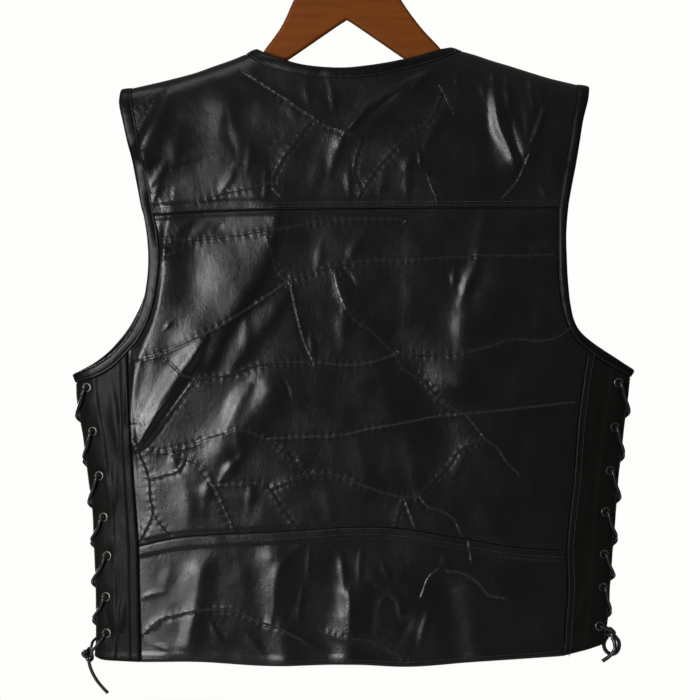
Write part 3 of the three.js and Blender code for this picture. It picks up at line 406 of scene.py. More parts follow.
# Largest folds of each side: x, down at both ends, rise and spread. The long diagonal's rows are
# lower than in the solid, because its crest is drawn again, narrower, among the creases.
FOLDS = {
    BACK: [
        (-178, 46, -204, 104, 4.5, 13), (-198, 52, -213, 100, -2.5, 11), (-118, 60, -98, 134, 3, 16),
        (148, 34, 166, 110, 3.5, 12), (186, 40, 184, 100, 3, 11), (83, 24, 3, 88, 2.5, 13),
        (-77, 172, -148, 292, 4.0, 25), (-148, 292, -212, 386, 1.5, 20), (-77, 342, -124, 400, 3.5, 17),
        (150, 236, 112, 330, 3.5, 24), (46, 290, 96, 392, -3, 22), (-148, 524, -158, 596, 2.5, 12),
        (-72, 510, -60, 616, 3, 15), (4, 548, 2, 616, 3.5, 14), (100, 540, 112, 612, -2.5, 15),
    ],
    FRONT: [
        (-176, 48, -160, 128, 4, 15), (176, 48, 166, 140, 4, 15), (-120, 190, -176, 322, 4.5, 24),
        (96, 210, 168, 330, 5, 24), (-70, 330, -108, 430, -3, 20), (116, 392, 84, 470, 3.5, 18),
        (-128, 516, -118, 612, 3.5, 16), (112, 524, 124, 606, 3, 15),
    ],
}


def through_rows(rows, backwards=False):
    """A smooth function through a table's rows, held at its ends."""
    table = np.asarray(rows, float)[:, ::-1 if backwards else 1]
    before = table[np.maximum(np.arange(len(table)) - 1, 0)]
    after = table[np.minimum(np.arange(len(table)) + 1, len(table) - 1)]
    slope = (after[:, 1] - before[:, 1]) / (after[:, 0] - before[:, 0])

    def value_at(where):
        i = np.clip(np.searchsorted(table[:, 0], where) - 1, 0, len(table) - 2)
        span = table[i + 1, 0] - table[i, 0]
        t = np.clip((where - table[i, 0]) / span, 0, 1)
        rest = 1 - t
        return (table[i, 1] * (1 + 2 * t) * rest * rest + slope[i] * span * t * rest * rest
                + table[i + 1, 1] * t * t * (3 - 2 * t) - slope[i + 1] * span * t * t * rest)
    return value_at


shoulder_line = through_rows(SHOULDER_LINE)
widest_depth = through_rows(BODY_DEPTH)
laced_edge = {hand: through_rows(LACED_EDGE[hand], backwards=True) for hand in (LEFT, RIGHT)}


def near_run(x, down, x0, down0, x1, down1):
    """How far along a straight run each point lies, from 0 to 1, and how far off it."""
    run_x, run_down = x1 - x0, down1 - down0
    along = ((x - x0) * run_x + (down - down0) * run_down) / (run_x**2 + run_down**2)
    t = np.clip(along, 0, 1)
    return t, np.hypot(x - x0 - t * run_x, down - down0 - t * run_down)


def form_depth(x, down, side):
    """How far the leather lies from the middle plane: a roof above, a flattened tube below."""
    drop = np.maximum(down - shoulder_line(x), 0)
    left, right = laced_edge[LEFT](down), laced_edge[RIGHT](down)
    share = np.minimum(np.abs((2 * x - left - right) / (right - left)) * EDGE_SHARE, 0.995)
    body = widest_depth(down) * (1 - share**BODY_POWER) ** (1 / BODY_POWER)
    roof = 2 * RIDGE_RADIUS * drop
    depth = np.sqrt(roof / (1 + (roof / body**2) ** 1.5) ** (2 / 3))
    rise = 0
    for *run, height, width in FOLDS[side]:
        rise = rise + height * np.exp(-(near_run(x, down, *run)[1] / width) ** 2)
    return depth + rise * drop / (drop + RELIEF_FADE)


def on_form(x, down, side, out):
    """Points of the leather, moved out from the form by a distance, and the form's normals."""
    step = 0.5
    above = np.minimum(step, np.maximum(down - shoulder_line(x), 0))
    depth = form_depth(x, down, side)
    beside = [form_depth(x + move, down, side) ** 2 for move in (step, -step)]
    slope_x = (beside[0] - beside[1]) / (2 * step)
    below_above = [form_depth(x, down + move, side) ** 2 for move in (step, -above)]
    slope_down = (below_above[0] - below_above[1]) / (step + above)
    normal = np.stack([-slope_x, 2 * side * depth, slope_down], axis=-1)
    normal /= np.linalg.norm(normal, axis=-1, keepdims=True)
    point = np.stack([x, side * depth, height_at(down)], axis=-1)
    return point + normal * np.asarray(out)[..., None], normal


print("depth at the middle of the back:", float(form_depth(np.array(3.0), np.array(300.0), BACK)))

# %% [markdown]
# ## Creases and the leather's own unevenness
# Between the largest folds the leather is full of smaller creases: short soft ridges fanned
# out under the shoulders, a long diagonal across the back where it is pulled, and crumples
# along the hem. Each is one row, set from the picture: a line with a bow, a height and
# a width. A simulation would fold the leather somewhere else, so they are placed instead.
# The front is never seen in the picture and gets creases of the same kind and size.
# Seeded noise at three sizes keeps the flat places from looking like plastic.

# %% Creases
# x, down at both ends, bow to the right, rise, width, and the width on the right where it differs
CREASES = {
    BACK: [
        # under the left shoulder
        (-183, 41, -209, 90, -1, -2.4, 5), (-206, 104, -199, 124, 1, 1.6, 4, 8),
        (-129, 20, -131, 38, 0, 0.9, 6), (-147, 50, -147, 142, 3, -0.4, 14),
        (-112, 46, -102, 142, 1, -1.7, 15),
        (-112, 122, -126, 144, 1, 1.1, 4.5), (-81, 122, -82, 151, 1, 0.9, 4),
        (-96, 98, -99, 121, 1, 0.7, 4.5),
        (-181, 117, -195, 139, 1, 1.0, 4.5), (-187, 137, -193, 154, 0, 0.9, 3.5),
        (-165, 76, -172, 116, -2, 0.8, 8), (-120, 66, -112, 104, -2, -0.7, 6),
        # under the neck
        (-17, 36, -13, 63, 1, 0.9, 4.5), (-41, 39, -38, 54, 0, 0.7, 4.5), (-10, 92, -17, 126, 1, 0.9, 5.5),
        (83, 26, 26, 59, -2, 1.5, 5.5), (26, 52, 2, 84, -1, 1.5, 5.5), (51, 46, 30, 62, -1, -1.5, 2.4),
        (79, 28, 63, 44, 0, 1.0, 4.5), (66, 106, 56, 124, 0, 1.0, 6), (72, 103, 73, 118, 0, 0.9, 2.4),
        (110, 26, 110, 37, 0, 1.0, 3), (135, 35, 136, 48, 0, 1.0, 3.4), (1, 121, 2, 144, 0, 0.8, 4),
        (-4, 90, -8, 103, 0, 1.0, 4.5), (60, 122, 59, 147, 0, 0.7, 4.5), (-28, 110, -34, 140, 1, 0.6, 7),
        (96, 66, 78, 104, -2, 0.8, 7), (38, 120, 33, 150, 0, 0.5, 5), (-60, 48, -52, 74, 1, 0.5, 6),
        # under the right shoulder
        (160, 54, 178, 121, -4, -2.4, 4.4), (160, 26, 163, 68, 0, 2.2, 5, 2.2),
        (154, 34, 157, 66, 0, -1.0, 2.2), (183, 30, 186, 60, 0, 1.5, 3.4, 2),
        (190, 36, 195, 58, 0, 1.8, 3.6, 2),
        (200, 54, 185, 94, 1, 2.0, 4, 2.4), (192, 60, 181, 92, 1, -1.1, 3), (206, 38, 206, 52, 0, 1.2, 3, 2),
        (205, 98, 209, 137, 0, 1.0, 8), (170, 40, 176, 84, -1, -0.8, 4), (140, 66, 146, 112, -2, -0.8, 8),
        (128, 96, 134, 140, 1, 0.5, 9), (193, 138, 200, 152, 0, 0.8, 3.5),
        # the long diagonal of the back
        (-158, 318, -184, 356, 2, -0.9, 4), (-198, 300, -210, 356, 1, -1.0, 8),
        (-152, 170, -172, 188, 0, 0.6, 5), (-137, 173, -157, 195, 0, 0.5, 5),
        (-123, 176, -132, 186, 0, -0.6, 4),
        (-186, 200, -177, 206, 0, 0.7, 2.6), (-181, 196, -184, 214, 0, 0.6, 3),
        (-174, 274, -180, 281, 0, 0.7, 2.2),
        # the middle of the back
        (-36, 288, -33, 312, 0, 0.9, 3.6), (-95, 335, -119, 379, -2, 1.5, 8),
        (-76, 335, -69, 373, 0, 1.0, 15),
        (-26, 199, -29, 220, 0, 0.7, 5), (-101, 268, -99, 304, 0, 0.6, 6), (-64, 331, -57, 350, 1, -0.8, 2.4),
        (-12, 228, -1, 266, 1, 0.5, 6), (13, 191, 2, 211, 0, 0.9, 6), (136, 170, 129, 216, 0, 1.1, 9),
        (129, 212, 116, 248, 0, 1.8, 7), (116, 244, 113, 302, 1, 1.1, 11), (107, 223, 106, 237, 0, 0.8, 3.6),
        (184, 190, 199, 199, -1, -1.1, 2.4), (182, 200, 198, 203, 0, 0.9, 5),
        (118, 316, 122, 355, 0, 0.8, 12),
        (-3, 262, -4, 292, 0, 0.8, 7), (-4, 222, 8, 238, 1, -0.6, 3), (62, 236, 56, 282, 2, 0.6, 12),
        (168, 226, 172, 276, 0, 0.5, 9), (196, 240, 190, 286, 0, 0.7, 8), (34, 334, 44, 366, 0, 0.5, 9),
        (172, 320, 168, 350, 0, 0.5, 10),
        # the lower back
        (-108, 411, -123, 429, -1, 1.9, 5.5), (-138, 434, -141, 452, 0, 1.2, 6),
        (-109, 390, -105, 411, 1, 0.9, 6),
        (-95, 437, -97, 457, 0, 0.9, 5), (58, 384, 70, 447, 2, 0.7, 9), (117, 401, 107, 426, 0, 0.9, 7),
        (-58, 402, -48, 418, 0, -0.7, 3), (-174, 404, -170, 420, 0, 0.8, 4.5), (12, 398, 20, 440, 1, 0.5, 9),
        (-190, 372, -196, 392, 0, 0.7, 5), (190, 384, 184, 440, 1, 0.6, 11), (-20, 440, -14, 474, 0, 0.5, 8),
        (140, 444, 188, 452, 2, 0.5, 7), (-160, 440, -158, 474, 1, 0.6, 8),
        # the hem band
        (-136, 572, -123, 594, -1, 0.6, 3.4),
        (-37, 498, -39, 527, 0, 0.5, 2.2), (-44, 538, -49, 575, 0, 0.7, 2.8),
        (-8, 508, -3, 537, 1, 0.7, 5.5), (-14, 539, -6, 567, 1, -0.7, 8), (-69, 582, -29, 597, 1, 0.5, 4),
        (-24, 580, 0, 590, 0, 0.7, 4), (-204, 549, -183, 543, 1, 0.6, 3), (-198, 582, -183, 569, 0, 0.6, 3),
        (14, 502, 12, 529, 0, 0.7, 3.6), (-5, 506, -3, 532, 0, 0.6, 3.4),
        (36, 516, 43, 531, 0, 0.6, 3.6), (21, 524, 51, 549, -2, 0.7, 3.2), (32, 557, 42, 545, 1, 0.6, 3.4),
        (50, 552, 54, 571, 0, 0.5, 3), (62, 566, 55, 584, 0, -1.1, 7),
        (145, 529, 167, 546, -1, 0.6, 6), (150, 567, 179, 554, 1, 0.4, 6), (26, 548, 22, 586, 0, -0.8, 6),
        (-108, 512, -100, 556, 2, 0.4, 9), (-100, 584, -84, 604, 0, 0.6, 4),
        (-176, 518, -182, 540, 0, 0.4, 6),
        (-190, 596, -172, 602, 0, 0.5, 3.4), (104, 584, 128, 596, 1, 0.4, 5), (178, 516, 186, 560, 0, 0.3, 9),
        (-54, 556, -62, 576, 0, -0.6, 4), (94, 504, 100, 518, 0, 0.4, 4), (196, 570, 190, 598, 0, 0.4, 5),
        # the laced side panels
        (240, 541, 230, 568, 0, 1.3, 4.4), (-223, 552, -228, 584, 0, 1.1, 4.5),
        (-231, 420, -233, 462, 0, 0.8, 5, 4),
        (-234, 340, -228, 402, 1, 1.1, 6, 4), (-230, 486, -226, 534, 0, 0.7, 5, 4),
        (248, 352, 243, 398, 0, 0.8, 5),
        (238, 424, 236, 470, 1, 0.8, 5), (236, 484, 239, 524, 0, -0.8, 5), (-240, 560, -236, 584, 0, -0.5, 4),
        (242, 584, 226, 590, 0, 0.9, 3.4),
    ],
    FRONT: [
        (-186, 44, -200, 96, 2, 2.8, 6), (-196, 50, -208, 92, 1, -2.0, 5), (-150, 36, -142, 84, -2, 1.6, 6),
        (-128, 40, -118, 74, 0, 1.2, 4), (-170, 100, -182, 140, 1, 1.0, 6), (184, 38, 196, 88, -3, 2.6, 5.5),
        (172, 40, 170, 84, 0, 1.8, 4), (150, 30, 136, 78, 2, 1.2, 6), (204, 60, 198, 104, 0, 1.1, 4),
        (-96, 96, -120, 150, 2, 1.1, 8), (110, 100, 138, 156, -2, 1.2, 8), (-70, 150, -96, 206, 0, 0.9, 9),
        (66, 168, 92, 220, 0, 0.8, 9), (-150, 250, -196, 316, 2, 2.0, 9), (150, 250, 204, 318, -2, 2.2, 9),
        (-186, 292, -216, 326, 0, 1.4, 5), (196, 288, 228, 318, 0, 1.4, 5), (-60, 260, -66, 330, 3, 0.9, 12),
        (70, 280, 60, 350, -3, 0.9, 12), (-130, 380, -158, 430, 2, 1.5, 7), (140, 372, 166, 424, -2, 1.4, 7),
        (-210, 380, -226, 430, 0, 0.9, 5), (214, 392, 232, 442, 0, 0.9, 5), (-60, 430, -84, 488, -2, 1.0, 8),
        (56, 440, 84, 500, 2, 1.1, 8), (-160, 520, -172, 590, 1, 1.9, 5), (-96, 540, -92, 602, -1, 1.6, 4),
        (-50, 556, -54, 606, 0, 1.1, 4), (60, 548, 56, 606, 1, 1.5, 4), (92, 520, 104, 596, 2, 1.7, 5),
        (168, 530, 178, 596, 0, 1.5, 5), (-206, 500, -214, 560, 0, 0.9, 6), (216, 510, 222, 566, 0, 1.0, 6),
        (-130, 590, -104, 602, 0, 0.9, 4), (120, 588, 150, 598, 0, 0.9, 4), (-36, 320, -32, 380, 0, 0.6, 8),
    ],
}
# the longest creases: a line of places, its rise, and its width on the left and on the right
SWEEPS = {
    BACK: [
        ([(-68, 158), (-73, 186), (-84, 222), (-103, 252), (-122, 284), (-136, 318)], 2.0, 12.5, 6),
        ([(-58, 244), (-78, 272), (-100, 298), (-118, 326)], 1.8, 15, 9),
        ([(-175, 156), (-181, 200), (-184, 240), (-190, 274), (-201, 304), (-210, 334), (-216, 376)],
         4.2, 9, 25),
        ([(-196, 66), (-200, 96), (-199, 124), (-190, 146)], 3.2, 12, 42),
        ([(-140, 290), (-159, 320), (-178, 350), (-194, 374), (-207, 398)], 3.9, 12, 4.5),
        ([(-177, 42), (-192, 74), (-205, 98), (-202, 116)], 1.9, 4.5, 10),
        ([(147, 29), (149, 56), (153, 80), (161, 96), (169, 120)], 3.0, 7.5, 2.8),
        ([(40, 45), (18, 64), (3, 80), (-8, 92)], 1.2, 5, 3),
        ([(-46, 497), (-59, 508), (-67, 521), (-72, 541), (-73, 560), (-78, 580)], 1.1, 6, 4.5),
        ([(3, 539), (3.5, 562), (4, 588)], 0.9, 5.5, 3),
        ([(-139, 508), (-145, 528), (-146, 556), (-153, 580), (-159, 600)], 0.5, 7, 10),
        ([(-152, 528), (-159, 556), (-168, 592)], -0.5, 7, 6),
        ([(20, 518), (44, 540), (54, 557), (54, 572)], 0.8, 4, 4),
        ([(81, 562), (77, 578), (72, 596)], 1.0, 4.4, 3),
    ],
    FRONT: [
        ([(-178, 46), (-190, 78), (-196, 118)], 3.0, 4, 9),
        ([(182, 42), (190, 76), (194, 112)], 3.0, 9, 4),
        ([(-84, 172), (-112, 224), (-150, 276), (-166, 322)], 2.6, 20, 8),
        ([(74, 182), (104, 236), (142, 282), (160, 324)], 2.6, 8, 20),
        ([(-118, 508), (-126, 546), (-124, 600)], 2.4, 6, 4),
        ([(124, 516), (132, 556), (130, 602)], 2.2, 4, 6),
    ],
}
EYELETS = {
    LEFT: [(-259.7, 339.5), (-253.8, 383.2), (-247.5, 427.5), (-243.3, 468.8), (-239.7, 507.4),
           (-240.8, 548.2), (-240.2, 584.6)],
    RIGHT: [(271.2, 334.5), (267.5, 379), (263.1, 422.4), (258.4, 463.6), (257.2, 505.9),
            (255.8, 539.1), (252.2, 577.5)],
}
EYELET_DENT = -0.9
EYELET_DENT_WIDTH = 8.0
NOISE_SIZES = ((54.0, 0.75, 3), (25.0, 0.42, 7), (11.5, 0.14, 11))


def soft_noise(x, down, size, seed):
    """Smooth seeded noise between -1 and 1, with features about as large as the size."""
    table = np.random.default_rng(seed).uniform(-1, 1, (64, 64))
    u, v = x / size + 17.3, down / (1.35 * size) + 9.1
    i, j = np.floor(u).astype(int), np.floor(v).astype(int)
    s, t = u - i, v - j
    s, t = s * s * (3 - 2 * s), t * t * (3 - 2 * t)

    def pick(a, b):
        return table[a % 64, b % 64]
    return ((pick(i, j) * (1 - s) + pick(i + 1, j) * s) * (1 - t)
            + (pick(i, j + 1) * (1 - s) + pick(i + 1, j + 1) * s) * t)


def places_near(x, down, low, high, reach):
    """Which places lie in a box, given by two corners, or within reach of it."""
    return ((x > low[0] - reach) & (x < high[0] + reach)
            & (down > low[1] - reach) & (down < high[1] + reach))


def sweep_rise(x, down, side):
    """The lift of the longest creases, each from its nearest place on its line."""
    rise = np.zeros(np.broadcast(x, down).shape)
    for corners, height, left, right in SWEEPS[side]:
        line = every(smooth_line(corners), 2.5)
        run = directions(line)
        near = places_near(x, down, line.min(axis=0), line.max(axis=0), 2.6 * max(left, right))
        off = np.stack([x[near], down[near]], axis=-1)[:, None] - line[None]
        square = (off**2).sum(axis=2)
        i = square.argmin(axis=1)
        off = off[np.arange(len(i)), i]
        across = off[:, 0] * run[i, 1] - off[:, 1] * run[i, 0]
        swell = np.sin(math.pi * np.clip(i / (len(line) - 1), 0, 1))
        width = np.where(across > 0, right, left) * (0.5 + 0.5 * swell)
        rise[near] += height * np.exp(-square.min(axis=1) / width**2) * (0.25 + 0.75 * swell**0.6)
    return rise


def crease_rise(x, down, side):
    """How far the creases, the dents at the eyelets and the noise lift the leather."""
    rise = sweep_rise(x, down, side)
    for x0, down0, x1, down1, bow, height, width, *right_width in CREASES[side]:
        length = math.hypot(x1 - x0, down1 - down0)
        ux, ud = (x1 - x0) / length, (down1 - down0) / length
        low, high = (min(x0, x1), min(down0, down1)), (max(x0, x1), max(down0, down1))
        near = places_near(x, down, low, high, 3.2 * width + abs(bow))
        px, pd = x[near] - x0, down[near] - down0
        along = (px * ux + pd * ud) / length
        t = np.clip(along, 0, 1)
        across = px * ud - pd * ux - 4 * bow * t * (1 - t)
        beyond = (along - t) * length
        swell = np.sin(math.pi * t)
        widths = np.where(across > 0, *right_width or (width,), width) * (0.55 + 0.45 * swell)
        fall = np.exp(-(across / widths) ** 2 - (beyond / (1.5 * width)) ** 2)
        rise[near] += height * fall * (0.3 + 0.7 * swell**0.8)
    for hand in (LEFT, RIGHT):
        for ex, ed in EYELETS[hand]:
            rise += EYELET_DENT * np.exp(-((x - ex) ** 2 + (down - ed) ** 2) / EYELET_DENT_WIDTH**2)
    for size, height, seed in NOISE_SIZES:
        rise += height * soft_noise(x, down, size, seed + 20 + 20 * side)
    drop = np.maximum(down - shoulder_line(x), 0)
    return rise * drop / (drop + CREASE_FADE)


print("creases on the back:", len(CREASES[BACK]), "and on the front:", len(CREASES[FRONT]))

# %% [markdown]
# ## The patchwork's seams
# The yoke, the centre panel and the band are themselves pieced from odd-shaped scraps. At each
# join one scrap laps over the next, and a zigzag stitch runs along the lap. The joins are
# lines set from the picture. A join lifts the leather on its lapped side, sinks it on
# the other and puckers it a little along the way, and the same lines carry the stitches later.

# %% Patch seams
PATCH_SEAMS = {
    "yoke": [
        [(-103, 26), (-33, 72)],
        [(-33, 72), (-48, 91.5), (-66, 118), (-73, 136), (-63, 149.5)],
        [(-73, 136), (-98, 142), (-131, 149.5), (-148, 154)],
        [(-212, 62), (-181, 42)],
        [(107, 62.5), (96, 40)],
        [(94, 50), (83, 73), (59, 91.5), (41, 110), (21, 136), (15, 146)],
        [(179, 111), (169, 133), (155, 149.5)],
        [(15, 95), (10, 111), (9, 130), (15, 141)],
        [(-18, 81), (5, 89)],
        [(83, 130), (91, 151)],
    ],
    "centre": [
        [(-184, 193), (-154, 193.5), (-131, 192), (-106, 188.5), (-79.5, 184.5), (-48, 179), (-15, 173.6),
         (34, 172), (53, 173)],
        [(-185, 209), (-172, 205)],
        [(-79.5, 185), (-74.5, 203), (-70, 219), (-58, 232.5)],
        [(-58, 232.5), (-85, 251), (-117, 272), (-148, 289), (-186, 306), (-210.5, 313)],
        [(-58, 232.5), (-47, 230), (-20, 221.5), (10, 215.5), (29, 213.4), (64, 213), (139, 209), (172, 209),
         (206, 207.5)],
        [(-34.5, 314), (-42, 299), (-50, 270), (-58, 232.5)],
        [(49, 306), (26, 284), (7, 268.5), (-5.5, 244.5), (-10, 225)],
        [(-34.5, 314), (-88, 318), (-116, 327.5), (-149, 331)],
        [(-186, 306), (-171, 322), (-162, 328), (-149, 331)],
        [(-149, 331), (-174, 365), (-199, 398)],
        [(-34.5, 314), (12, 316), (49, 306)],
        [(49, 306), (79, 307.6), (109, 306.7), (139, 300), (167, 292), (189, 293.5), (210, 290), (225, 279)],
        [(116, 365), (91, 350), (76, 332), (59, 322), (49, 306)],
        [(-78, 389.6), (-40, 388), (-5, 386), (21, 380), (56, 374), (86, 368), (116, 365), (139, 363),
         (205, 355.6), (226, 353.5)],
        [(116, 365), (131, 383), (136.5, 391)],
        [(136.5, 391), (112, 403), (101, 418), (86, 433), (71, 448)],
        [(136.5, 391), (149, 400), (159, 414.5), (169, 424)],
        [(71, 448), (56, 449), (39, 445), (18, 438), (-7, 428), (-36, 426)],
        [(56, 449), (49, 476)],
        [(56, 449), (66, 477)],
        [(71, 448), (81, 459), (91, 461), (106, 471), (112, 483)],
        [(-197, 400), (-186, 403), (-172, 400), (-154, 396), (-139, 389.6), (-121, 384.7), (-109, 380.5),
         (-96, 383), (-79.5, 391), (-66, 401), (-51, 413), (-36, 426)],
        [(-171, 408), (-147, 418), (-134, 436), (-124, 458), (-114, 481)],
        [(-134, 436), (-88, 434.4), (-78, 439), (-64.5, 459), (-51, 478)],
        [(-73, 440), (-55, 433), (-36, 426)],
        [(-212, 394), (-204, 411), (-197, 429), (-195.5, 448), (-193, 466), (-204, 489)],
        [(-193, 466), (-177, 486)],
        [(-195.5, 431), (-167, 423), (-162, 416)],
    ],
    "band": [
        [(-199, 583), (-187, 571.5), (-174, 568), (-147, 561.5), (-121, 560), (-104, 565), (-91, 571.5),
         (-71, 578), (-46, 590)],
        [(-21, 581.5), (-5, 587), (25, 591), (41, 599), (52, 604), (57, 609)],
        [(74, 543), (80.5, 527), (89, 520)],
        [(100, 522), (114, 524), (129, 533), (141, 546), (155.5, 549)],
        [(120, 495), (122.5, 510)],
    ],
}
LAP_SIDES = (1, -1, -1, 1, 1, -1, 1, -1)   # which side of each seam laps over, taken in turn
LAP_LIFT = 0.38
LAP_FALL = 5.0
UNDER_SINK = 0.30
UNDER_FALL = 2.6
PUCKER = 0.12
PUCKER_STEP = 7.3
PUCKER_REACH = 4.6
SEAM_STEP = 2.0


def seam_stations(lines):
    """Stations along all the seams of a panel: place, direction, way along, and lapped side."""
    stations = []
    for i, corners in enumerate(lines):
        line = every(smooth_line(corners), SEAM_STEP)
        run = directions(line)
        lap = np.full(len(line), LAP_SIDES[i % len(LAP_SIDES)])
        stations.append(np.column_stack([line, run, way_along(line), lap]))
    return np.vstack(stations)


SEAM_STATIONS = {part: seam_stations(lines) for part, lines in PATCH_SEAMS.items()}


def seam_distance(x, down, part):
    """For each point: distance to the nearest seam, the same with its sign, and the way along."""
    stations = SEAM_STATIONS[part]
    places = np.column_stack([np.ravel(x), np.ravel(down)])
    nearest = np.empty(len(places), int)
    chunk = 4000       # points at a time, so that the table of distances stays small
    for start in range(0, len(places), chunk):
        some = places[start:start + chunk]
        square = ((some[:, None, :] - stations[None, :, :2]) ** 2).sum(axis=2)
        nearest[start:start + chunk] = square.argmin(axis=1)
    station = stations[nearest]
    off = places - station[:, :2]
    along = (off * station[:, 2:4]).sum(axis=1)
    across = (off[:, 0] * station[:, 3] - off[:, 1] * station[:, 2]) * station[:, 5]
    beyond = np.maximum(np.abs(along) - 0.6 * SEAM_STEP, 0)
    distance = np.hypot(across, beyond)
    shape = np.shape(x)
    return distance.reshape(shape), across.reshape(shape), (station[:, 4] + along).reshape(shape)


def seam_rise(distance, across, way):
    lap = LAP_LIFT * np.exp(-(distance / LAP_FALL) ** 2)
    under = -UNDER_SINK * np.exp(-(distance / UNDER_FALL) ** 2)
    pucker = PUCKER * np.sin(2 * math.pi * way / PUCKER_STEP + 1.3 * np.sin(way / 23.0))
    return np.where(across > 0, lap, under) + pucker * np.exp(-(distance / PUCKER_REACH) ** 2)


print("seam stations:", {part: len(rows) for part, rows in SEAM_STATIONS.items()})

# %% [markdown]
# ## How a leather piece is made
# A maker cuts a flat shape and sews it to its neighbours. Here each piece is a patch between
# four edge lines, filled in evenly and then laid on the form with its creases. It is closed
# with an inner face and a rim, so it is a real wall of leather. The outer face has a point
# every 1.5 mm, because the creases live there, and the inner one has half as many each way.
# Close to an edge that is sewn, the leather is folded double and lies a little higher.

# %% Patches and walls
CELL = 1.5
SEAM_HALF_GAP = 0.08
BORDER = (0.5, 1.3)    # the first rows in from an edge, where it turns under
FAR_FROM_SEAM = 99.0   # what the inner face stores, so that the shader draws no join there
BORDER_DROP = (1.5, 0.42, 0.05)
BORDER_END = 2.2


def steps(length, cell=CELL, border_start=False, border_end=False):
    """Shares of an edge's length: an even number of steps, with finer ones at a turned edge."""
    start, end = 0.0, length
    head, tail = [0.0], [length]
    if border_start:
        head += list(BORDER)
        start = BORDER[-1]
    if border_end:
        tail = [length - BORDER[1], length - BORDER[0], length]
        end = length - BORDER[-1]
    count = 2 * max(int(round((end - start) / cell / 2)), 1)
    middle = np.linspace(start, end, count + 1)[1:-1]
    return np.concatenate([head, middle, tail]) / length


def ridge_steps(length, cell=CELL, border_end=False):
    """Shares of an edge that starts on the shoulder's ridge, where the form bends away fast."""
    bend = (cell * np.arange(0, 9)) ** 2 / (2 * RIDGE_RADIUS)
    rest = steps(length - bend[-1], cell, border_end=border_end) * (length - bend[-1]) + bend[-1]
    return np.concatenate([bend[:-1], rest]) / length


def length_shares(line):
    way = way_along(line)
    return way / way[-1]


def patch(top, bottom, left, right):
    """Fills the space between four edges, as rows of places across and down."""
    u = ((length_shares(top) + length_shares(bottom)) / 2)[None, :, None]
    v = ((length_shares(left) + length_shares(right)) / 2)[:, None, None]
    sides = top[None] * (1 - v) + bottom[None] * v + left[:, None] * (1 - u) + right[:, None] * u
    corners = (top[0] * (1 - u) * (1 - v) + top[-1] * u * (1 - v)
               + bottom[0] * (1 - u) * v + bottom[-1] * u * v)
    return sides - corners


def drawn_in(rows, gap=SEAM_HALF_GAP, top=True):
    """Moves the outer rows and columns in a little, so that neighbours don't touch."""
    moved = rows.copy()

    def pull(edge, inside):
        run = inside - edge
        return run / np.linalg.norm(run, axis=-1, keepdims=True) * gap
    if top:
        moved[0] += pull(rows[0], rows[1])
    moved[-1] += pull(rows[-1], rows[-2])
    moved[:, 0] += pull(rows[:, 0], rows[:, 1])
    moved[:, -1] += pull(rows[:, -1], rows[:, -2])
    return moved


def mesh_piece(name, points, quads, triangles, attributes=None):
    """A smooth-shaded mesh from numpy arrays of points in millimetres and faces."""
    data = bpy.data.meshes.new(name)
    data.vertices.add(len(points))
    data.vertices.foreach_set("co", (np.asarray(points) * MM).astype(np.float32).ravel())
    corners = np.concatenate([np.ravel(quads), np.ravel(triangles)]).astype(np.int32)
    sizes = np.concatenate([np.full(len(quads), 4), np.full(len(triangles), 3)])
    data.loops.add(len(corners))
    data.loops.foreach_set("vertex_index", corners)
    data.polygons.add(len(sizes))
    data.polygons.foreach_set("loop_start", np.concatenate([[0], np.cumsum(sizes)[:-1]]).astype(np.int32))
    data.polygons.foreach_set("use_smooth", np.ones(len(sizes), bool))
    for key, values in (attributes or {}).items():
        layer = data.attributes.new(key, "FLOAT", "POINT")
        layer.data.foreach_set("value", np.asarray(values, np.float32))
    data.update(calc_edges=True)
    data.validate()
    return placed(name, data)


def rim_of(rows, columns):
    """The places round a grid's border, in order, as row and column numbers."""
    across, down = np.arange(columns), np.arange(rows)
    j = np.concatenate([np.zeros(columns - 1, int), down[:-1], np.full(columns - 1, rows - 1), down[:0:-1]])
    i = np.concatenate([across[:-1], np.full(rows - 1, columns - 1), across[:0:-1], np.zeros(rows - 1, int)])
    return j * columns + i


def wall_mesh(name, outer, inner, side, attributes=None):
    """A closed wall between a fine outer grid and an inner one with every second point."""
    (rows, columns), (rows2, columns2) = outer.shape[:2], inner.shape[:2]
    place = np.arange(rows * columns).reshape(rows, columns)
    place2 = np.arange(rows2 * columns2).reshape(rows2, columns2) + rows * columns

    def squares(grid):
        return np.stack([grid[:-1, :-1], grid[1:, :-1], grid[1:, 1:], grid[:-1, 1:]], axis=-1).reshape(-1, 4)
    rim = rim_of(rows, columns)
    rim2 = rim_of(rows2, columns2) + rows * columns
    a0, a1, a2 = rim[0::2], rim[1::2], np.roll(rim, -2)[0::2]
    b0, b1 = rim2, np.roll(rim2, -1)
    triangles = np.vstack([np.column_stack(t) for t in ((a0, a1, b0), (a1, b1, b0), (a1, a2, b1))])
    quads = np.vstack([squares(place), squares(place2)[:, ::-1]])
    if side == FRONT:
        quads, triangles = quads[:, ::-1], triangles[:, ::-1]
    points = np.vstack([outer.reshape(-1, 3), inner.reshape(-1, 3)])
    return mesh_piece(name, points, quads, triangles, attributes)


def distances_in(rows):
    """How far each place of a patch lies from its top, bottom, left and right edge."""
    across = np.linalg.norm(np.diff(rows, axis=1), axis=2)
    down = np.linalg.norm(np.diff(rows, axis=0), axis=2)
    from_left = np.pad(np.cumsum(across, axis=1), ((0, 0), (1, 0)))
    from_top = np.pad(np.cumsum(down, axis=0), ((1, 0), (0, 0)))
    return dict(top=from_top, bottom=from_top[-1:] - from_top,
                left=from_left, right=from_left[:, -1:] - from_left)


FOLD_STEP = 4.0
LEAST_WALL = 0.2       # what stays of the wall at an edge that is turned under


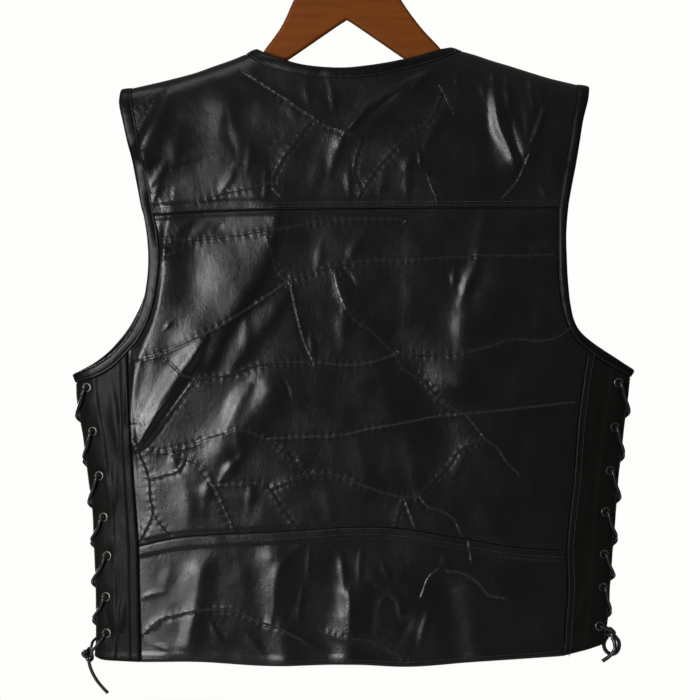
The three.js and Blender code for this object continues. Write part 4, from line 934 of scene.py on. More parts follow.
def folded_edge(distance, lift, width):
    """The height that a doubled edge adds: flat over the fold, then a short step."""
    t = np.clip((distance - width) / FOLD_STEP, 0, 1)
    return lift * (1 - t * t * (3 - 2 * t))


def turned_edge(distance):
    """How far a cut edge turns under, right at the edge."""
    return -np.interp(distance, (0.0, *BORDER, BORDER_END), (*BORDER_DROP, 0.0))


def leather_panel(name, rows, side, turned, doubled, part=None, lap=None):
    """A leather panel on the form. turned names its turned edges, doubled their lift and width."""
    x, down = rows[..., 0], rows[..., 1]
    away = distances_in(rows)
    rise = crease_rise(x, down, side)
    if lap is not None:
        rise = rise + lap(x)
    attributes = None
    plain = rise
    under = plain[::2, ::2]
    if part is not None:
        distance, across, way = seam_distance(x, down, part)
        rise = rise + seam_rise(distance, across, way)
        blank = np.full(under.size, FAR_FROM_SEAM)
        attributes = {SEAM_LINE: np.concatenate([across.ravel(), blank]),
                      SEAM_NEAR: np.concatenate([distance.ravel(), blank])}
    for edge, (lift, width) in doubled.items():
        rise = rise + folded_edge(away[edge], lift, width)
    for edge in turned:
        rise = rise + turned_edge(away[edge])
    rise = np.maximum(rise, plain - WALL + LEAST_WALL)
    outer, _ = on_form(x, down, side, rise)
    inner, _ = on_form(x[::2, ::2], down[::2, ::2], side, under - WALL)
    piece = wall_mesh(name, outer, inner, side, attributes)
    print(name, "has", len(piece.data.polygons), "faces")
    return piece


# %% [markdown]
# ## The edges that the pieces share
# The armholes, the neck, the seams and the hem are the pattern's lines. They are short tables
# read off the picture in millimetres, and a spline through each gives the cut. The armhole
# rows hold the binding's free edge and its inner line side by side, and the front's armhole
# stands out a few millimetres past the back's low down, as it does in the picture.

# %% Pattern lines
# free edge x and down, inner line x and down, and how far the front's edge peeks out
ARMHOLE = {
    LEFT: [
        (-227.5, 42.5, -215.5, 39.8, 0), (-227.8, 56, -214.2, 56, 0), (-224, 74, -211, 73, 0),
        (-219, 96, -207, 94, 0), (-214, 114, -202.5, 112, 0), (-209.5, 137, -198, 134, 0),
        (-205, 160, -194, 158.5, 0), (-202.5, 169, -192.5, 167.5, 0), (-199, 192, -188.5, 190, 0),
        (-198, 212, -187.2, 213, 0), (-199, 230, -189, 233, 1), (-203.5, 256, -194, 260, 4),
        (-210, 273, -200.5, 278, 5.5), (-217, 285.5, -209, 293, 6), (-226, 297, -219, 304, 6),
        (-238.5, 308.5, -233.5, 318.5, 5), (-254, 318, -250, 328, 3), (-273.8, 325.5, -271, 334.5, 0),
    ],
    RIGHT: [
        (242.8, 39.3, 230.5, 36.4, 0), (241, 52, 229.5, 52, 0), (236, 72, 226, 71, 0),
        (232, 96, 222.5, 94, 0), (229, 114, 219.5, 112, 0), (224.5, 137, 215, 135, 0),
        (221.3, 155, 212, 154, 0), (220.5, 161, 211, 160.2, 0), (218.5, 187, 210.5, 185, 0),
        (219, 212, 210.5, 213, 0), (220, 232, 211.5, 236, 0), (222.5, 256, 215, 261, 1.5),
        (226.5, 273, 220.5, 279, 2.5), (234, 286, 229, 292.5, 3), (245, 296, 240.6, 302.5, 3),
        (258, 304.5, 254, 312.5, 2.5), (272, 312.5, 268, 320.5, 1.5), (287, 321.5, 283.5, 329, 0),
    ],
}
YOKE_ROW, SIDE_ROW = 7, 14     # the rows of both tables where the yoke and the back's side seam start
BACK_NECK = [
    (-89, 1, -101.5, 5.8), (-81, 5, -91, 13.5), (-65, 11, -72, 21.8), (-48, 16.3, -53, 26.8),
    (-27, 19.3, -30, 29.8), (-3, 20.3, -3, 31.3), (21, 18, 23, 29.6), (47, 13.7, 52, 23.8),
    (71, 8, 77, 17.6), (89, 2.3, 98, 10), (102, -0.6, 114.5, 2.8),
]
FRONT_EDGE = [
    (-89, 1, -101.5, 5.8), (-80, 18, -91, 24), (-66, 42, -76, 48), (-40, 88, -49.5, 94),
    (-11, 136, -20, 142), (12, 172, 2.5, 179), (20.5, 192, 10, 198), (22, 215, 11.5, 218),
    (22, 400, 11.5, 400), (22, 615.5, 11.5, 615.5),
]
CLOSING_CENTRE = 6.5
SIDE_SEAM = {
    LEFT: [(-219, 304), (-218, 337), (-216.6, 372), (-213.3, 427), (-210.7, 462), (-208.3, 497)],
    RIGHT: [(240.6, 302.5), (237, 322), (234, 344), (230.5, 372), (226, 431), (221.5, 472), (219, 501.5)],
}
BAND_SIDE = {
    LEFT: [(-208.3, 497), (-207.5, 541), (-206.7, 577), (-206, 613)],
    RIGHT: [(219, 501.5), (220.2, 541), (218, 572), (216.6, 597), (214.3, 607.2)],
}
YOKE_SEAM = [(-192.5, 167.5), (-135, 164), (-72, 162.3), (3, 161.5), (95, 160.7), (211, 160.2)]
BAND_SEAM = [
    (-208.3, 497), (-170, 488.8), (-116, 484.8), (-62, 482.4), (3, 478.3), (48, 479), (105, 487.5),
    (146.5, 495), (178, 499), (219, 501.5),
]
BACK_HEM = [(-206, 613), (-147, 612.5), (-79, 616.3), (3, 614.8), (62, 617), (133, 612), (214.3, 607.2)]
SIDE_HEM = {
    LEFT: [(-252.6, 608), (-246, 611), (-227, 612.4), (-206, 613)],
    RIGHT: [(214.3, 607.2), (238, 601.5), (253, 597), (258, 595.5)],
}


def joined(*parts):
    """Lines end to end, without the doubled points."""
    return np.vstack([part if i == 0 else part[1:] for i, part in enumerate(parts)])


def onto_ridge(line, *ends):
    """Moves a line's ends onto the ridge of the shoulder."""
    moved = line.copy()
    for end in ends:
        moved[end, 1] = shoulder_line(moved[end, 0]) + RIDGE_SLIT**2 / (2 * RIDGE_RADIUS)
    return moved


def ridge_between(x0, x1, shares):
    x = x0 + (x1 - x0) * np.asarray(shares)
    return np.column_stack([x, shoulder_line(x) + RIDGE_SLIT**2 / (2 * RIDGE_RADIUS)])


def armhole_rows(hand, side):
    """The armhole's table for the back or the front, whose edge peeks out."""
    rows = np.array(ARMHOLE[hand], float)
    out, inner, peek = rows[:, 0:2], rows[:, 2:4], rows[:, 4]
    if side == FRONT:
        shift = (out - inner) * (peek / np.linalg.norm(out - inner, axis=1))[:, None]
        out, inner = out + shift, inner + shift
    return out, inner


def cut_inner(hand, side, stretch, shares):
    """A stretch of an armhole's inner line, cut at the given shares."""
    _, inner = armhole_rows(hand, side)
    part = {"yoke": slice(0, YOKE_ROW + 1), "chest": slice(YOKE_ROW, SIDE_ROW + 1),
            "underarm": slice(SIDE_ROW, None)}[stretch]
    line = at_shares(smooth_line(inner[part]), shares)
    return onto_ridge(line, 0) if stretch == "yoke" else line


print("round the left armhole of the back:",
      round(way_along(smooth_line(armhole_rows(LEFT, BACK)[0]))[-1]), "mm")

# %% [markdown]
# ## The back: yoke, centre and hem band
# The yoke laps over the centre panel and is topstitched twice, the band laps over the centre
# from below, and the side panels lap over both. So the yoke's lower edge, the band's upper one
# and the side panels' inner edges are doubled and stand higher, and the centre's turn under.

# %% Back panels
TUCK = 0.35            # how far the centre reaches under its neighbours, so that no light shows through
# about how long each stretch of a panel's edge is, which sets how many rows of points it gets
YOKE_LENGTH = 130.0
CHEST_LENGTH = 150.0
SIDE_LENGTH = 196.0
BAND_LENGTH = 114.0
UNDERARM_LENGTH = 60.0
BACK_WIDTH = 430.0


yoke_shares = ridge_steps(YOKE_LENGTH, border_end=True)
band_shares = steps(BAND_LENGTH, border_start=True, border_end=True)
neck_points = np.array(BACK_NECK, float)
neck_inner_curve = smooth_line(neck_points[:, 2:4])
neck_shares = steps(way_along(neck_inner_curve)[-1])
neck_inner = onto_ridge(at_shares(neck_inner_curve, neck_shares), 0, -1)
yoke_left = cut_inner(LEFT, BACK, "yoke", yoke_shares)
yoke_right = cut_inner(RIGHT, BACK, "yoke", yoke_shares)
shoulder_left = steps(abs(neck_inner[0, 0] - yoke_left[0, 0]), border_start=True)
shoulder_right = steps(abs(yoke_right[0, 0] - neck_inner[-1, 0]), border_end=True)
yoke_top = joined(
    ridge_between(yoke_left[0, 0], neck_inner[0, 0], shoulder_left), neck_inner,
    ridge_between(neck_inner[-1, 0], yoke_right[0, 0], shoulder_right))


def across_shares(count, length):
    """Shares across the back, with fine steps at both ends, for a given number of points."""
    middle = np.linspace(BORDER[-1], length - BORDER[-1], count - 4)
    return np.concatenate([[0, BORDER[0]], middle, [length - BORDER[0], length]]) / length


across = across_shares(len(yoke_top), BACK_WIDTH)
yoke_seam = at_shares(smooth_line(YOKE_SEAM), across)
band_seam = at_shares(smooth_line(BAND_SEAM), across)
hem_line = at_shares(smooth_line(BACK_HEM), across)
seam_lines = {}
for hand in (LEFT, RIGHT):
    top_part = cut_inner(hand, BACK, "chest", steps(CHEST_LENGTH, border_start=True))
    low_part = at_shares(smooth_line(SIDE_SEAM[hand]), steps(SIDE_LENGTH, border_end=True))
    seam_lines[hand] = joined(top_part, low_part)

yoke_rows = drawn_in(patch(yoke_top, yoke_seam, yoke_left, yoke_right), top=False)
centre_rows = drawn_in(patch(yoke_seam, band_seam, seam_lines[LEFT], seam_lines[RIGHT]), -TUCK)
band_left = at_shares(smooth_line(BAND_SIDE[LEFT]), band_shares)
band_right = at_shares(smooth_line(BAND_SIDE[RIGHT]), band_shares)
band_rows = drawn_in(patch(band_seam, hem_line, band_left, band_right))

# each panel's rows, turned edges, the lift and width of its doubled or tucked ones, and its cut
ALL_ROUND = ("top", "bottom", "left", "right")
BACK_PANELS = {
    "yoke": (yoke_rows, ("bottom",), {"bottom": (0.75, 8.5)}, (0.46, 0.175), 0.0635),
    "centre": (centre_rows, ALL_ROUND, {"top": (-0.6, 3.0), "bottom": (-0.6, 3.0), "left": (-0.5, 3.0),
                                        "right": (-0.5, 3.0)}, (0.46, 0.350), 0.1420),
    "band": (band_rows, ALL_ROUND, {"top": (0.7, 9.0), "bottom": (0.5, 7.0)}, (0.43, 0.140), 0.0555),
}
for part, (rows, turned, doubled, flat, area) in BACK_PANELS.items():
    panel = leather_panel(f"{part}_leather", rows, BACK, turned, doubled, part)
    finished(panel, "leather", f"back_{part}", material=panel_leather)

# %% [markdown]
# ## The side panels and the fronts
# A side panel is a narrow strip from the armhole down, with the row of eyelets along its outer
# edge. The fronts run from the shoulder to the hem in one piece each, and the left one laps
# over the right. The photograph doesn't show them, so they have the pieces that a front must
# have and nothing more. Holes for the eyelets are punched with a boolean cut, as a maker
# punches them, before the rings are set.

# %% Side panels and fronts
LAP_RISE = 4.0
LAP_START, LAP_END = -75.0, -25.0
EYELET_HOLE = 3.65
PUNCH_REACH = 6.0
PUNCH_SIDES = 24
FRONT_CELL = 2.4       # the hidden front has fewer points than the back
FRONT_BINDING_CELL = 2.0
FRONT_UNDERARM = 64.0
FRONT_TOP = 230.0
LACED_LENGTH = 274.0


def smoothstep(value, low, high):
    t = np.clip((value - low) / (high - low), 0, 1)
    return t * t * (3 - 2 * t)


def lap_rise(x):
    """How far the left front stands off the form, to lie over the right one."""
    return LAP_RISE * smoothstep(x, LAP_START, LAP_END)


def skin(x, down, side, part=None, lap=None, out=0.0):
    """Points and normals on the finished outer face at any places, for what lies on it."""
    x, down = np.asarray(x, float), np.asarray(down, float)
    rise = crease_rise(x, down, side)
    if lap is not None:
        rise = rise + lap(x)
    if part is not None:
        rise = rise + seam_rise(*seam_distance(x, down, part))
    return on_form(x, down, side, rise + out)


def circle_about(normal, count, turning=1):
    """Points of a unit circle square to a direction, turning one way round or the other."""
    turn = np.linspace(0, 2 * math.pi, count, endpoint=False)
    side_way = np.cross(normal, (0, 0, 1.0))
    side_way /= np.linalg.norm(side_way)
    other = np.cross(normal, side_way) * turning
    return np.cos(turn)[:, None] * side_way + np.sin(turn)[:, None] * other


def punched(piece, seats):
    """Cuts a round hole through a panel at each eyelet."""
    n = PUNCH_SIDES
    i = np.arange(n)
    j = (i + 1) % n
    fan = np.arange(1, n - 1)
    points, quads, triangles = [], [], []
    for point, normal in seats:
        base = len(points) * n
        circle = circle_about(normal, n) * EYELET_HOLE
        points += [point + circle - PUNCH_REACH * normal, point + circle + PUNCH_REACH * normal]
        quads.append(np.column_stack([base + i, base + n + i, base + n + j, base + j]))
        triangles.append(np.column_stack([np.full(n - 2, base), base + fan, base + fan + 1]))
        triangles.append(np.column_stack([np.full(n - 2, base + n), base + n + fan + 1, base + n + fan]))
    punch = mesh_piece("punch", np.vstack(points), np.vstack(quads), np.vstack(triangles))
    cut = piece.modifiers.new("holes", "BOOLEAN")
    cut.operation = "DIFFERENCE"
    cut.solver = "EXACT"
    cut.object = punch
    uncut, piece.data = piece.data, settled_mesh(piece)
    piece.modifiers.clear()
    bpy.data.meshes.remove(uncut)
    bpy.data.objects.remove(punch)


def seats_of(hand, side):
    """Where each eyelet sits, and which way it faces."""
    places = np.array(EYELETS[hand])
    points, normals = skin(places[:, 0], places[:, 1], side)
    return list(zip(points, normals))


SEATS = {(hand, side): seats_of(hand, side) for hand in (LEFT, RIGHT) for side in (BACK, FRONT)}
HAND_NAME = {LEFT: "left", RIGHT: "right"}
SIDE_NAME = {BACK: "back", FRONT: "front"}


def side_panel(hand):
    """The strip between the back's side seam and the laced edge."""
    seam = joined(at_shares(smooth_line(SIDE_SEAM[hand]), steps(SIDE_LENGTH, border_start=True)),
                  at_shares(smooth_line(BAND_SIDE[hand]), steps(BAND_LENGTH, border_end=True)))
    laced_curve = smooth_line(LACED_EDGE[hand])
    laced = at_shares(laced_curve, across_shares(len(seam), way_along(laced_curve)[-1]))
    shares = steps(UNDERARM_LENGTH, border_start=True, border_end=True)
    underarm = cut_inner(hand, BACK, "underarm", shares)
    hem = at_shares(smooth_line(SIDE_HEM[hand]), shares)
    if hand == LEFT:
        rows = patch(underarm[::-1], hem, laced, seam)
        doubled = {"right": (1.0, 7.5), "left": (0.9, 20.0), "bottom": (0.4, 5.0)}
    else:
        rows = patch(underarm, hem, seam, laced)
        doubled = {"left": (0.6, 7.5), "right": (0.9, 20.0), "bottom": (0.4, 5.0)}
    piece = leather_panel(f"side_{HAND_NAME[hand]}_leather", drawn_in(rows), BACK, ALL_ROUND, doubled)
    punched(piece, SEATS[hand, BACK])
    finished(piece, "leather", f"back_side_{HAND_NAME[hand]}", material=side_leather_painted_light)


def front_lines(hand, cell):
    """A front's outside edge, and the binding's two lines down the neck and the closing edge."""
    rows = np.array(FRONT_EDGE, float)
    if hand == RIGHT:
        rows[:, [0, 2]] = 2 * CLOSING_CENTRE - rows[:, [0, 2]]
    stretches = [cut_inner(hand, FRONT, "yoke", ridge_steps(YOKE_LENGTH, cell)),
                 cut_inner(hand, FRONT, "chest", steps(CHEST_LENGTH, cell)),
                 cut_inner(hand, FRONT, "underarm", steps(FRONT_UNDERARM, cell))]
    laced = at_shares(smooth_line(LACED_EDGE[hand]), steps(LACED_LENGTH, cell, border_end=True))
    outside = joined(*stretches, laced)
    shares = (outside[:, 1] - outside[0, 1]) / (outside[-1, 1] - outside[0, 1])
    lines = []
    for pair in (rows[:, 0:2], rows[:, 2:4]):
        down = pair[0, 1] + (pair[-1, 1] - pair[0, 1]) * shares
        x_at = through_rows(pair, backwards=True)
        lines.append(onto_ridge(np.column_stack([x_at(down), down]), 0))
    return outside, lines[0], lines[1]


def front_panel(hand):
    """A front in one piece, from the shoulder's ridge to the hem."""
    outside, _, inner = front_lines(hand, FRONT_CELL)
    shares = steps(FRONT_TOP, FRONT_CELL, border_start=True)
    top = ridge_between(outside[0, 0], inner[0, 0], shares)
    hem = outside[-1] + (inner[-1] - outside[-1]) * shares[:, None]
    lap = lap_rise if hand == LEFT else None
    rows = drawn_in(patch(top, hem, outside, inner), top=False)
    name = f"front_{HAND_NAME[hand]}"
    piece = leather_panel(name + "_leather", rows if hand == LEFT else rows[:, ::-1], FRONT, ("bottom",),
                          {"bottom": (0.4, 6.0)}, lap=lap)
    punched(piece, SEATS[hand, FRONT])
    finished(piece, "leather", name, material=front_leather)


for make in (side_panel, front_panel):
    for hand in (LEFT, RIGHT):
        make(hand)

# %% [markdown]
# ## The bindings
# A strip of thin leather is folded round each raw edge and stitched down. Its free edge is
# round and firm, its face is slightly crowned, and its inner edge lies on the panel with a
# row of stitches just inside it. The strip is a closed outline carried along the edge. A
# little unevenness in height keeps it from looking moulded.

# %% Bindings
# share across the strip from the free edge, and height over the panel
BINDING_SECTION = [
    (0.16, -2.05), (0.05, -1.75), (0.0, -0.8), (0.01, 0.1), (0.06, 0.85), (0.16, 1.3), (0.32, 1.45),
    (0.52, 1.35), (0.70, 1.1), (0.80, 0.85), (0.86, 0.55), (0.92, 0.75), (0.97, 0.7), (1.0, 0.3),
    (1.0, -0.6), (0.98, -2.05),
]
BINDING_STEP = 1.6


def binding(node_name, out, inner, side, flat, lap=None):
    """A folded strip between its free edge and its inner line."""
    share = np.array([row[0] for row in BINDING_SECTION])
    height = np.array([row[1] for row in BINDING_SECTION])
    places = out[:, None] * (1 - share)[None, :, None] + inner[:, None] * share[None, :, None]
    x, down = places[..., 0], places[..., 1]
    base = crease_rise(x, down, side)
    if lap is not None:
        base = base + lap(x)
    way = way_along(inner)
    uneven = (0.16 * soft_noise(way, np.zeros_like(way), 9.0, 31)
              + 0.12 * soft_noise(way, np.ones_like(way), 3.4, 37))
    lively = np.where(height > 0, 1.0, 0.0)
    points, _ = on_form(x, down, side, base + height + uneven[:, None] * lively)
    count, around = points.shape[:2]
    place = np.arange(count * around).reshape(count, around)
    after = np.roll(place, -1, axis=1)
    quads = np.stack([place[:-1], after[:-1], after[1:], place[1:]], axis=-1).reshape(-1, 4)
    ends = []
    for row, turn in ((place[0], 1), (place[-1], -1)):
        fan = np.column_stack([np.full(around - 2, row[0]), row[1:-1], row[2:]])
        ends.append(fan[:, ::-turn])
    triangles = np.vstack(ends)
    corner = points.reshape(-1, 3)
    volume = np.einsum("ij,ij->", corner[quads[:, 0]], np.cross(corner[quads[:, 1]], corner[quads[:, 2]]))
    volume += np.einsum("ij,ij->", corner[quads[:, 0]], np.cross(corner[quads[:, 2]], corner[quads[:, 3]]))
    if volume < 0:
        quads, triangles = quads[:, ::-1], triangles[:, ::-1]
    piece = mesh_piece(node_name + "_strip", corner, quads, triangles)
    finished(piece, "binding", node_name, material=binding_leather)
    print(piece.name, "has", len(piece.data.vertices), "points")


def strip_lines(out, inner, both_ends=False):
    """A binding's two lines in equal steps, finer at the end or the ends on the ridge."""
    length = way_along(smooth_line(inner))[-1]
    shares = ridge_steps(length, BINDING_STEP)
    if both_ends:
        half = ridge_steps(length / 2, BINDING_STEP) / 2
        shares = np.concatenate([half, (1 - half[::-1])[1:]])
    ends = (0, -1) if both_ends else (0,)
    return [onto_ridge(at_shares(smooth_line(points), shares), *ends) for points in (out, inner)]


# every binding's name, lines, side and lap, which its stitches follow too
STRIPS = []
for hand in (LEFT, RIGHT):
    for side in (BACK, FRONT):
        name = f"{SIDE_NAME[side]}_{HAND_NAME[hand]}"
        STRIPS.append((f"armhole_binding_{name}", strip_lines(*armhole_rows(hand, side)), side,
                       (0.0115, 0.370), None))
STRIPS.append(("neck_binding", strip_lines(neck_points[:, 0:2], neck_points[:, 2:4], both_ends=True), BACK,
               (0.0130, 0.240), None))
for hand in (LEFT, RIGHT):
    STRIPS.append((f"front_edge_binding_{HAND_NAME[hand]}", front_lines(hand, FRONT_BINDING_CELL)[1:], FRONT,
                   (0.0130, 0.660), lap_rise if hand == LEFT else None))
for node_name, lines, side, flat, lap in STRIPS:
    binding(node_name, *lines, side, flat, lap)

# %% [markdown]
# ## Stitches
# Black thread on black leather shows as a row of small bright grains where the light catches
# it. Every stitch is a tiny bar with pointed ends that sink into the leather. Thousands of
# them are one joined mesh per panel, built from arrays in one go. Two rows of topstitches run
# 3 and 6 mm above the yoke's seam and one along each of the other seams and the hem, and a
# zigzag runs along every join of the patchwork.

# %% Thread material and stitch maker
thread_material, thread_tree, thread_shader, thread_place = new_material(
    "thread", Roughness=0.5, Specular_IOR_Level=0.5, Sheen_Weight=0.15)
twist = node(thread_tree, "ShaderNodeTexNoise", Vector=thread_place, Scale=1800.0, Detail=2.0).outputs[0]
# The thread's grey is lighter than the black leather: partly the thread's own tone, partly painted sheen for
# the bright grains where light catches it.
thread_tree.links.new(colour_between(thread_tree, twist, (0.016, 0.016, 0.0155), (0.050, 0.050, 0.047)),
                      thread_shader.inputs["Base Color"])
stacked_bumps(thread_tree, thread_shader, [(twist, 0.5, 0.0001)])

STITCH_SIDES = 4
THREAD = 0.38


def stitches(name, starts, ends, normals, slot):
    """One joined mesh with a stitch from every start to its end."""
    run = ends - starts
    run /= np.linalg.norm(run, axis=1, keepdims=True)
    across = np.cross(run, normals)
    across /= np.linalg.norm(across, axis=1, keepdims=True)
    up = np.cross(across, run)
    radius = THREAD
    turn = np.linspace(0, 2 * math.pi, STITCH_SIDES, endpoint=False) + math.pi / STITCH_SIDES
    ring = (np.cos(turn)[:, None] * across[:, None] + np.sin(turn)[:, None] * up[:, None]) * radius
    rows = [(starts - up * radius)[:, None]]
    for share in (0.22, 0.78):
        middle = starts * (1 - share) + ends * share + up * radius * 0.55
        rows.append(middle[:, None] + ring)
    rows.append((ends - up * radius)[:, None])
    points = np.concatenate(rows, axis=1)
    each = points.shape[1]
    i = np.arange(STITCH_SIDES)
    j = (i + 1) % STITCH_SIDES
    tip = np.zeros(STITCH_SIDES, int)
    triangles = np.vstack([np.column_stack([tip, 1 + i, 1 + j]),
                           np.column_stack([tip + each - 1, 1 + STITCH_SIDES + j, 1 + STITCH_SIDES + i])])
    quads = np.column_stack([1 + j, 1 + i, 1 + STITCH_SIDES + i, 1 + STITCH_SIDES + j])
    base = (np.arange(len(starts)) * each)[:, None, None]
    piece = mesh_piece(name, points.reshape(-1, 3), (quads[None] + base).reshape(-1, 4),
                       (triangles[None] + base).reshape(-1, 3))
    finished(piece, slot, material=thread_material)


TOPSTITCH = 2.7
TOPSTITCH_GAP = 0.55


def rows_of_stitches(lines):
    """Start and end places of topstitches along lines across and down."""
    starts, ends = [], []
    for line in lines:
        way = way_along(line)
        at = np.arange(0.5, way[-1] - TOPSTITCH, TOPSTITCH + TOPSTITCH_GAP) / way[-1]
        starts.append(at_shares(line, at))
        ends.append(at_shares(line, at + TOPSTITCH / way[-1]))
    return np.vstack(starts), np.vstack(ends)


ZIGZAG_STEP = 2.3
ZIGZAG_LOW, ZIGZAG_HIGH = -1.3, 2.5    # its reach on the join's lower and on its lapped side
ZIGZAG_LEAN = 0.35


def zigzag(lines):
    """Start and end places of the stitches across the joins, mostly on their lapped side."""
    starts, ends = [], []
    for i, corners in enumerate(lines):
        line = every(smooth_line(corners), ZIGZAG_STEP)
        run = directions(line)
        aside = np.column_stack([run[:, 1], -run[:, 0]]) * LAP_SIDES[i % len(LAP_SIDES)]
        starts.append(line + aside * ZIGZAG_LOW)
        ends.append(line + aside * ZIGZAG_HIGH + run * ZIGZAG_LEAN)
    return np.vstack(starts), np.vstack(ends)


def sewn(name, places, side, lift, part=None, lap=None, slot="leather"):
    """Lays stitches on the leather, at a height over it."""
    start, _ = skin(places[0][:, 0], places[0][:, 1], side, part, lap, lift)
    end, normal = skin(places[1][:, 0], places[1][:, 1], side, part, lap, lift)
    stitches(name, start, end, normal, slot)


def offset(line, distance):
    """A line moved sideways, to the right of its direction where the distance is positive."""
    run = directions(line)
    return line + np.column_stack([-run[:, 1], run[:, 0]]) * distance


# %% Sewing
SEWING_STEP = 2.0


def beside(points, *distances):
    """Rows of topstitches at some distances from a seam, given by its table."""
    line = every(smooth_line(points), SEWING_STEP)
    return [offset(line, distance) for distance in distances]


sewn("yoke_topstitches", rows_of_stitches(beside(YOKE_SEAM, -3.0, -6.2)), BACK, 0.75, "yoke")
sewn("band_topstitches", rows_of_stitches(beside(BAND_SEAM, 7.0)), BACK, 0.70, "band")
sewn("hem_topstitches", rows_of_stitches(beside(BACK_HEM, -5.0)), BACK, 0.5, "band")
for part in PATCH_SEAMS:
    sewn(f"{part}_zigzag", zigzag(PATCH_SEAMS[part]), BACK, 0.12, part)
for hand in (LEFT, RIGHT):
    lines = beside(SIDE_SEAM[hand] + BAND_SIDE[hand][1:], -hand * 6.4) + beside(LACED_EDGE[hand], hand * 2.2)
    sewn(f"side_{HAND_NAME[hand]}_topstitches", rows_of_stitches(lines), BACK, 0.85)

# %% Stitches along the bindings
STITCH_SHARE = 0.86
FIRST_STITCH = 0.3     # how far below the ridge a row starts

for node_name, (out, inner), side, _, lap in STRIPS:
    line = out * (1 - STITCH_SHARE) + inner * STITCH_SHARE
    line = line[line[:, 1] > shoulder_line(line[:, 0]) + FIRST_STITCH]
    sewn(node_name.replace("binding_", "").replace("_binding", "") + "_stitches",
         rows_of_stitches([every(line, SEWING_STEP)]), side, 0.5, lap=lap, slot="binding")

# %% [markdown]
# ## Eyelets
# Each eyelet is a pressed ring of dull, slightly antiqued nickel: a rolled flange that sits in
# its dent, and a barrel that goes through the leather. A lathe profile turned round the hole
# gives both, with enough steps that the roll catches a round highlight.

# %% Metal materials and eyelets
def metal(name, dark, light, roughness, scale):
    """A plated metal, stained a little from place to place."""
    material, tree, shader, place = new_material(name, Metallic=1.0)
    stain = node(tree, "ShaderNodeTexNoise", Vector=place, Scale=scale, Detail=5.0, Roughness=0.65).outputs[0]
    tree.links.new(colour_between(tree, stain, dark, light), shader.inputs["Base Color"])
    tree.links.new(spread(tree, stain, 0.3, 0.7, roughness - 0.07, roughness + 0.1),
                   shader.inputs["Roughness"])
    stacked_bumps(tree, shader, [(stain, 0.25, 0.0001)])
    return material


nickel = metal("antique_nickel", (0.10, 0.097, 0.09), (0.30, 0.29, 0.275), 0.33, 420.0)
bright_steel = metal("bright_steel", (0.44, 0.44, 0.44), (0.60, 0.60, 0.60), 0.22, 90.0)

EYELET_PROFILE = [
    (2.6, -2.6), (3.1, -2.6), (3.1, -0.1), (4.3, -0.1), (5.05, 0.15), (5.2, 0.55), (4.95, 0.95),
    (4.35, 1.25), (3.7, 1.25), (3.1, 0.95), (2.72, 0.4), (2.6, -0.3),
]


def lathe(name, profile, point, normal, sides=28):
    """A ring turned from a closed profile of radius and height, round a line."""
    profile = np.asarray(profile, float)
    circle = circle_about(normal, sides, turning=-1)
    points = point + circle[:, None] * profile[None, :, 0:1] + normal * profile[None, :, 1:2]
    place = np.arange(sides * len(profile)).reshape(sides, len(profile))
    after, beyond = np.roll(place, -1, axis=0), np.roll(place, -1, axis=1)
    both = np.roll(after, -1, axis=1)
    quads = np.stack([place, beyond, both, after], axis=-1).reshape(-1, 4)
    return mesh_piece(name, points.reshape(-1, 3), quads, np.empty((0, 3), int))


for (hand, side), seats in SEATS.items():
    for i, (point, normal) in enumerate(seats, start=1):
        label = f"eyelet_{SIDE_NAME[side]}_{HAND_NAME[hand]}_{i}"
        ring = lathe(label + "_ring", EYELET_PROFILE, point, normal)
        finished(ring, "eyelet", label, material=nickel)

# %% [markdown]
# ## The laces
# One thong laces each side like a shoe: out of an eyelet, down and over the edge, under the
# other edge and out through the next eyelet, with both runs crossing on the way. The stations
# of every strand are worked out from the eyelets' seats, and a spline through them all gives
# the thong its bends.

# %% Lacing
LACE_LIFT = 4.7
LACE_STEP = 1.3
BAR_DEPTH = 5.0
OUTER_CROSSING, INNER_CROSSING = 2.6, -0.4    # how far past the edge each run of the lace crosses
TIES = {
    (LEFT, BACK): [(-246.5, -15.2, 593), (-252.8, -12.2, 600.4), (-255.1, -8.9, 602.6)],
    (LEFT, FRONT): [(-254.9, 9.4, 594), (-256.6, 3.4, 599.4), (-257.6, -0.2, 602.4)],
    (RIGHT, BACK): [(258.4, -14, 580), (263.4, -9.7, 582.2), (263.8, -5.6, 583.5)],
    (RIGHT, FRONT): [(258.4, 14, 580.2), (263.4, 7.7, 582.2), (263.8, 3.6, 583.5)],
}


def lace_strand(start_seat, end_seat, side, hand, crossing):
    """The stations of one strand, from one eyelet to the next one of the other edge."""
    (start, out), (end, end_out) = start_seat, end_seat
    drop = start[2] - end[2]

    def edge_x(share):
        return float(laced_edge[hand](np.array(-HOOK_TO_SHOULDER - start[2] + share * drop)))

    def at(x, y, share):
        return np.array([x, y, start[2] - share * drop])
    return [
        start,
        start + out * LACE_LIFT + np.array([hand * 0.6, 0, -1]),
        at(0.55 * start[0] + 0.45 * edge_x(0.3), start[1], 0.30) + out * 3.4,
        at(edge_x(0.58) + hand * 1.5, side * 10.8, 0.57),
        at(edge_x(0.70) + hand * crossing, side * 1.2, 0.70),
        at(edge_x(0.80) - hand * 2.2, -side * 2.6, 0.81),
        end - end_out * 6.2 + np.array([hand * 2.6, 0, 3.2]),
        end - end_out * 3.6 + np.array([hand * 0.3, 0, 0.3]),
    ]


def lace_climb(hand, first_side, crossing):
    """All the strands of one end of the lace, from the top eyelet down to the knot."""
    stations = []
    side = first_side
    for i in range(len(EYELETS[hand]) - 1):
        stations += lace_strand(SEATS[hand, side][i], SEATS[hand, -side][i + 1], side, hand, crossing)
        side = -side
    point, normal = SEATS[hand, side][-1]
    stations += [point, point + normal * LACE_LIFT + np.array([hand * 0.4, 0, -0.6])]
    return stations + list(in_space(TIES[hand, first_side]))


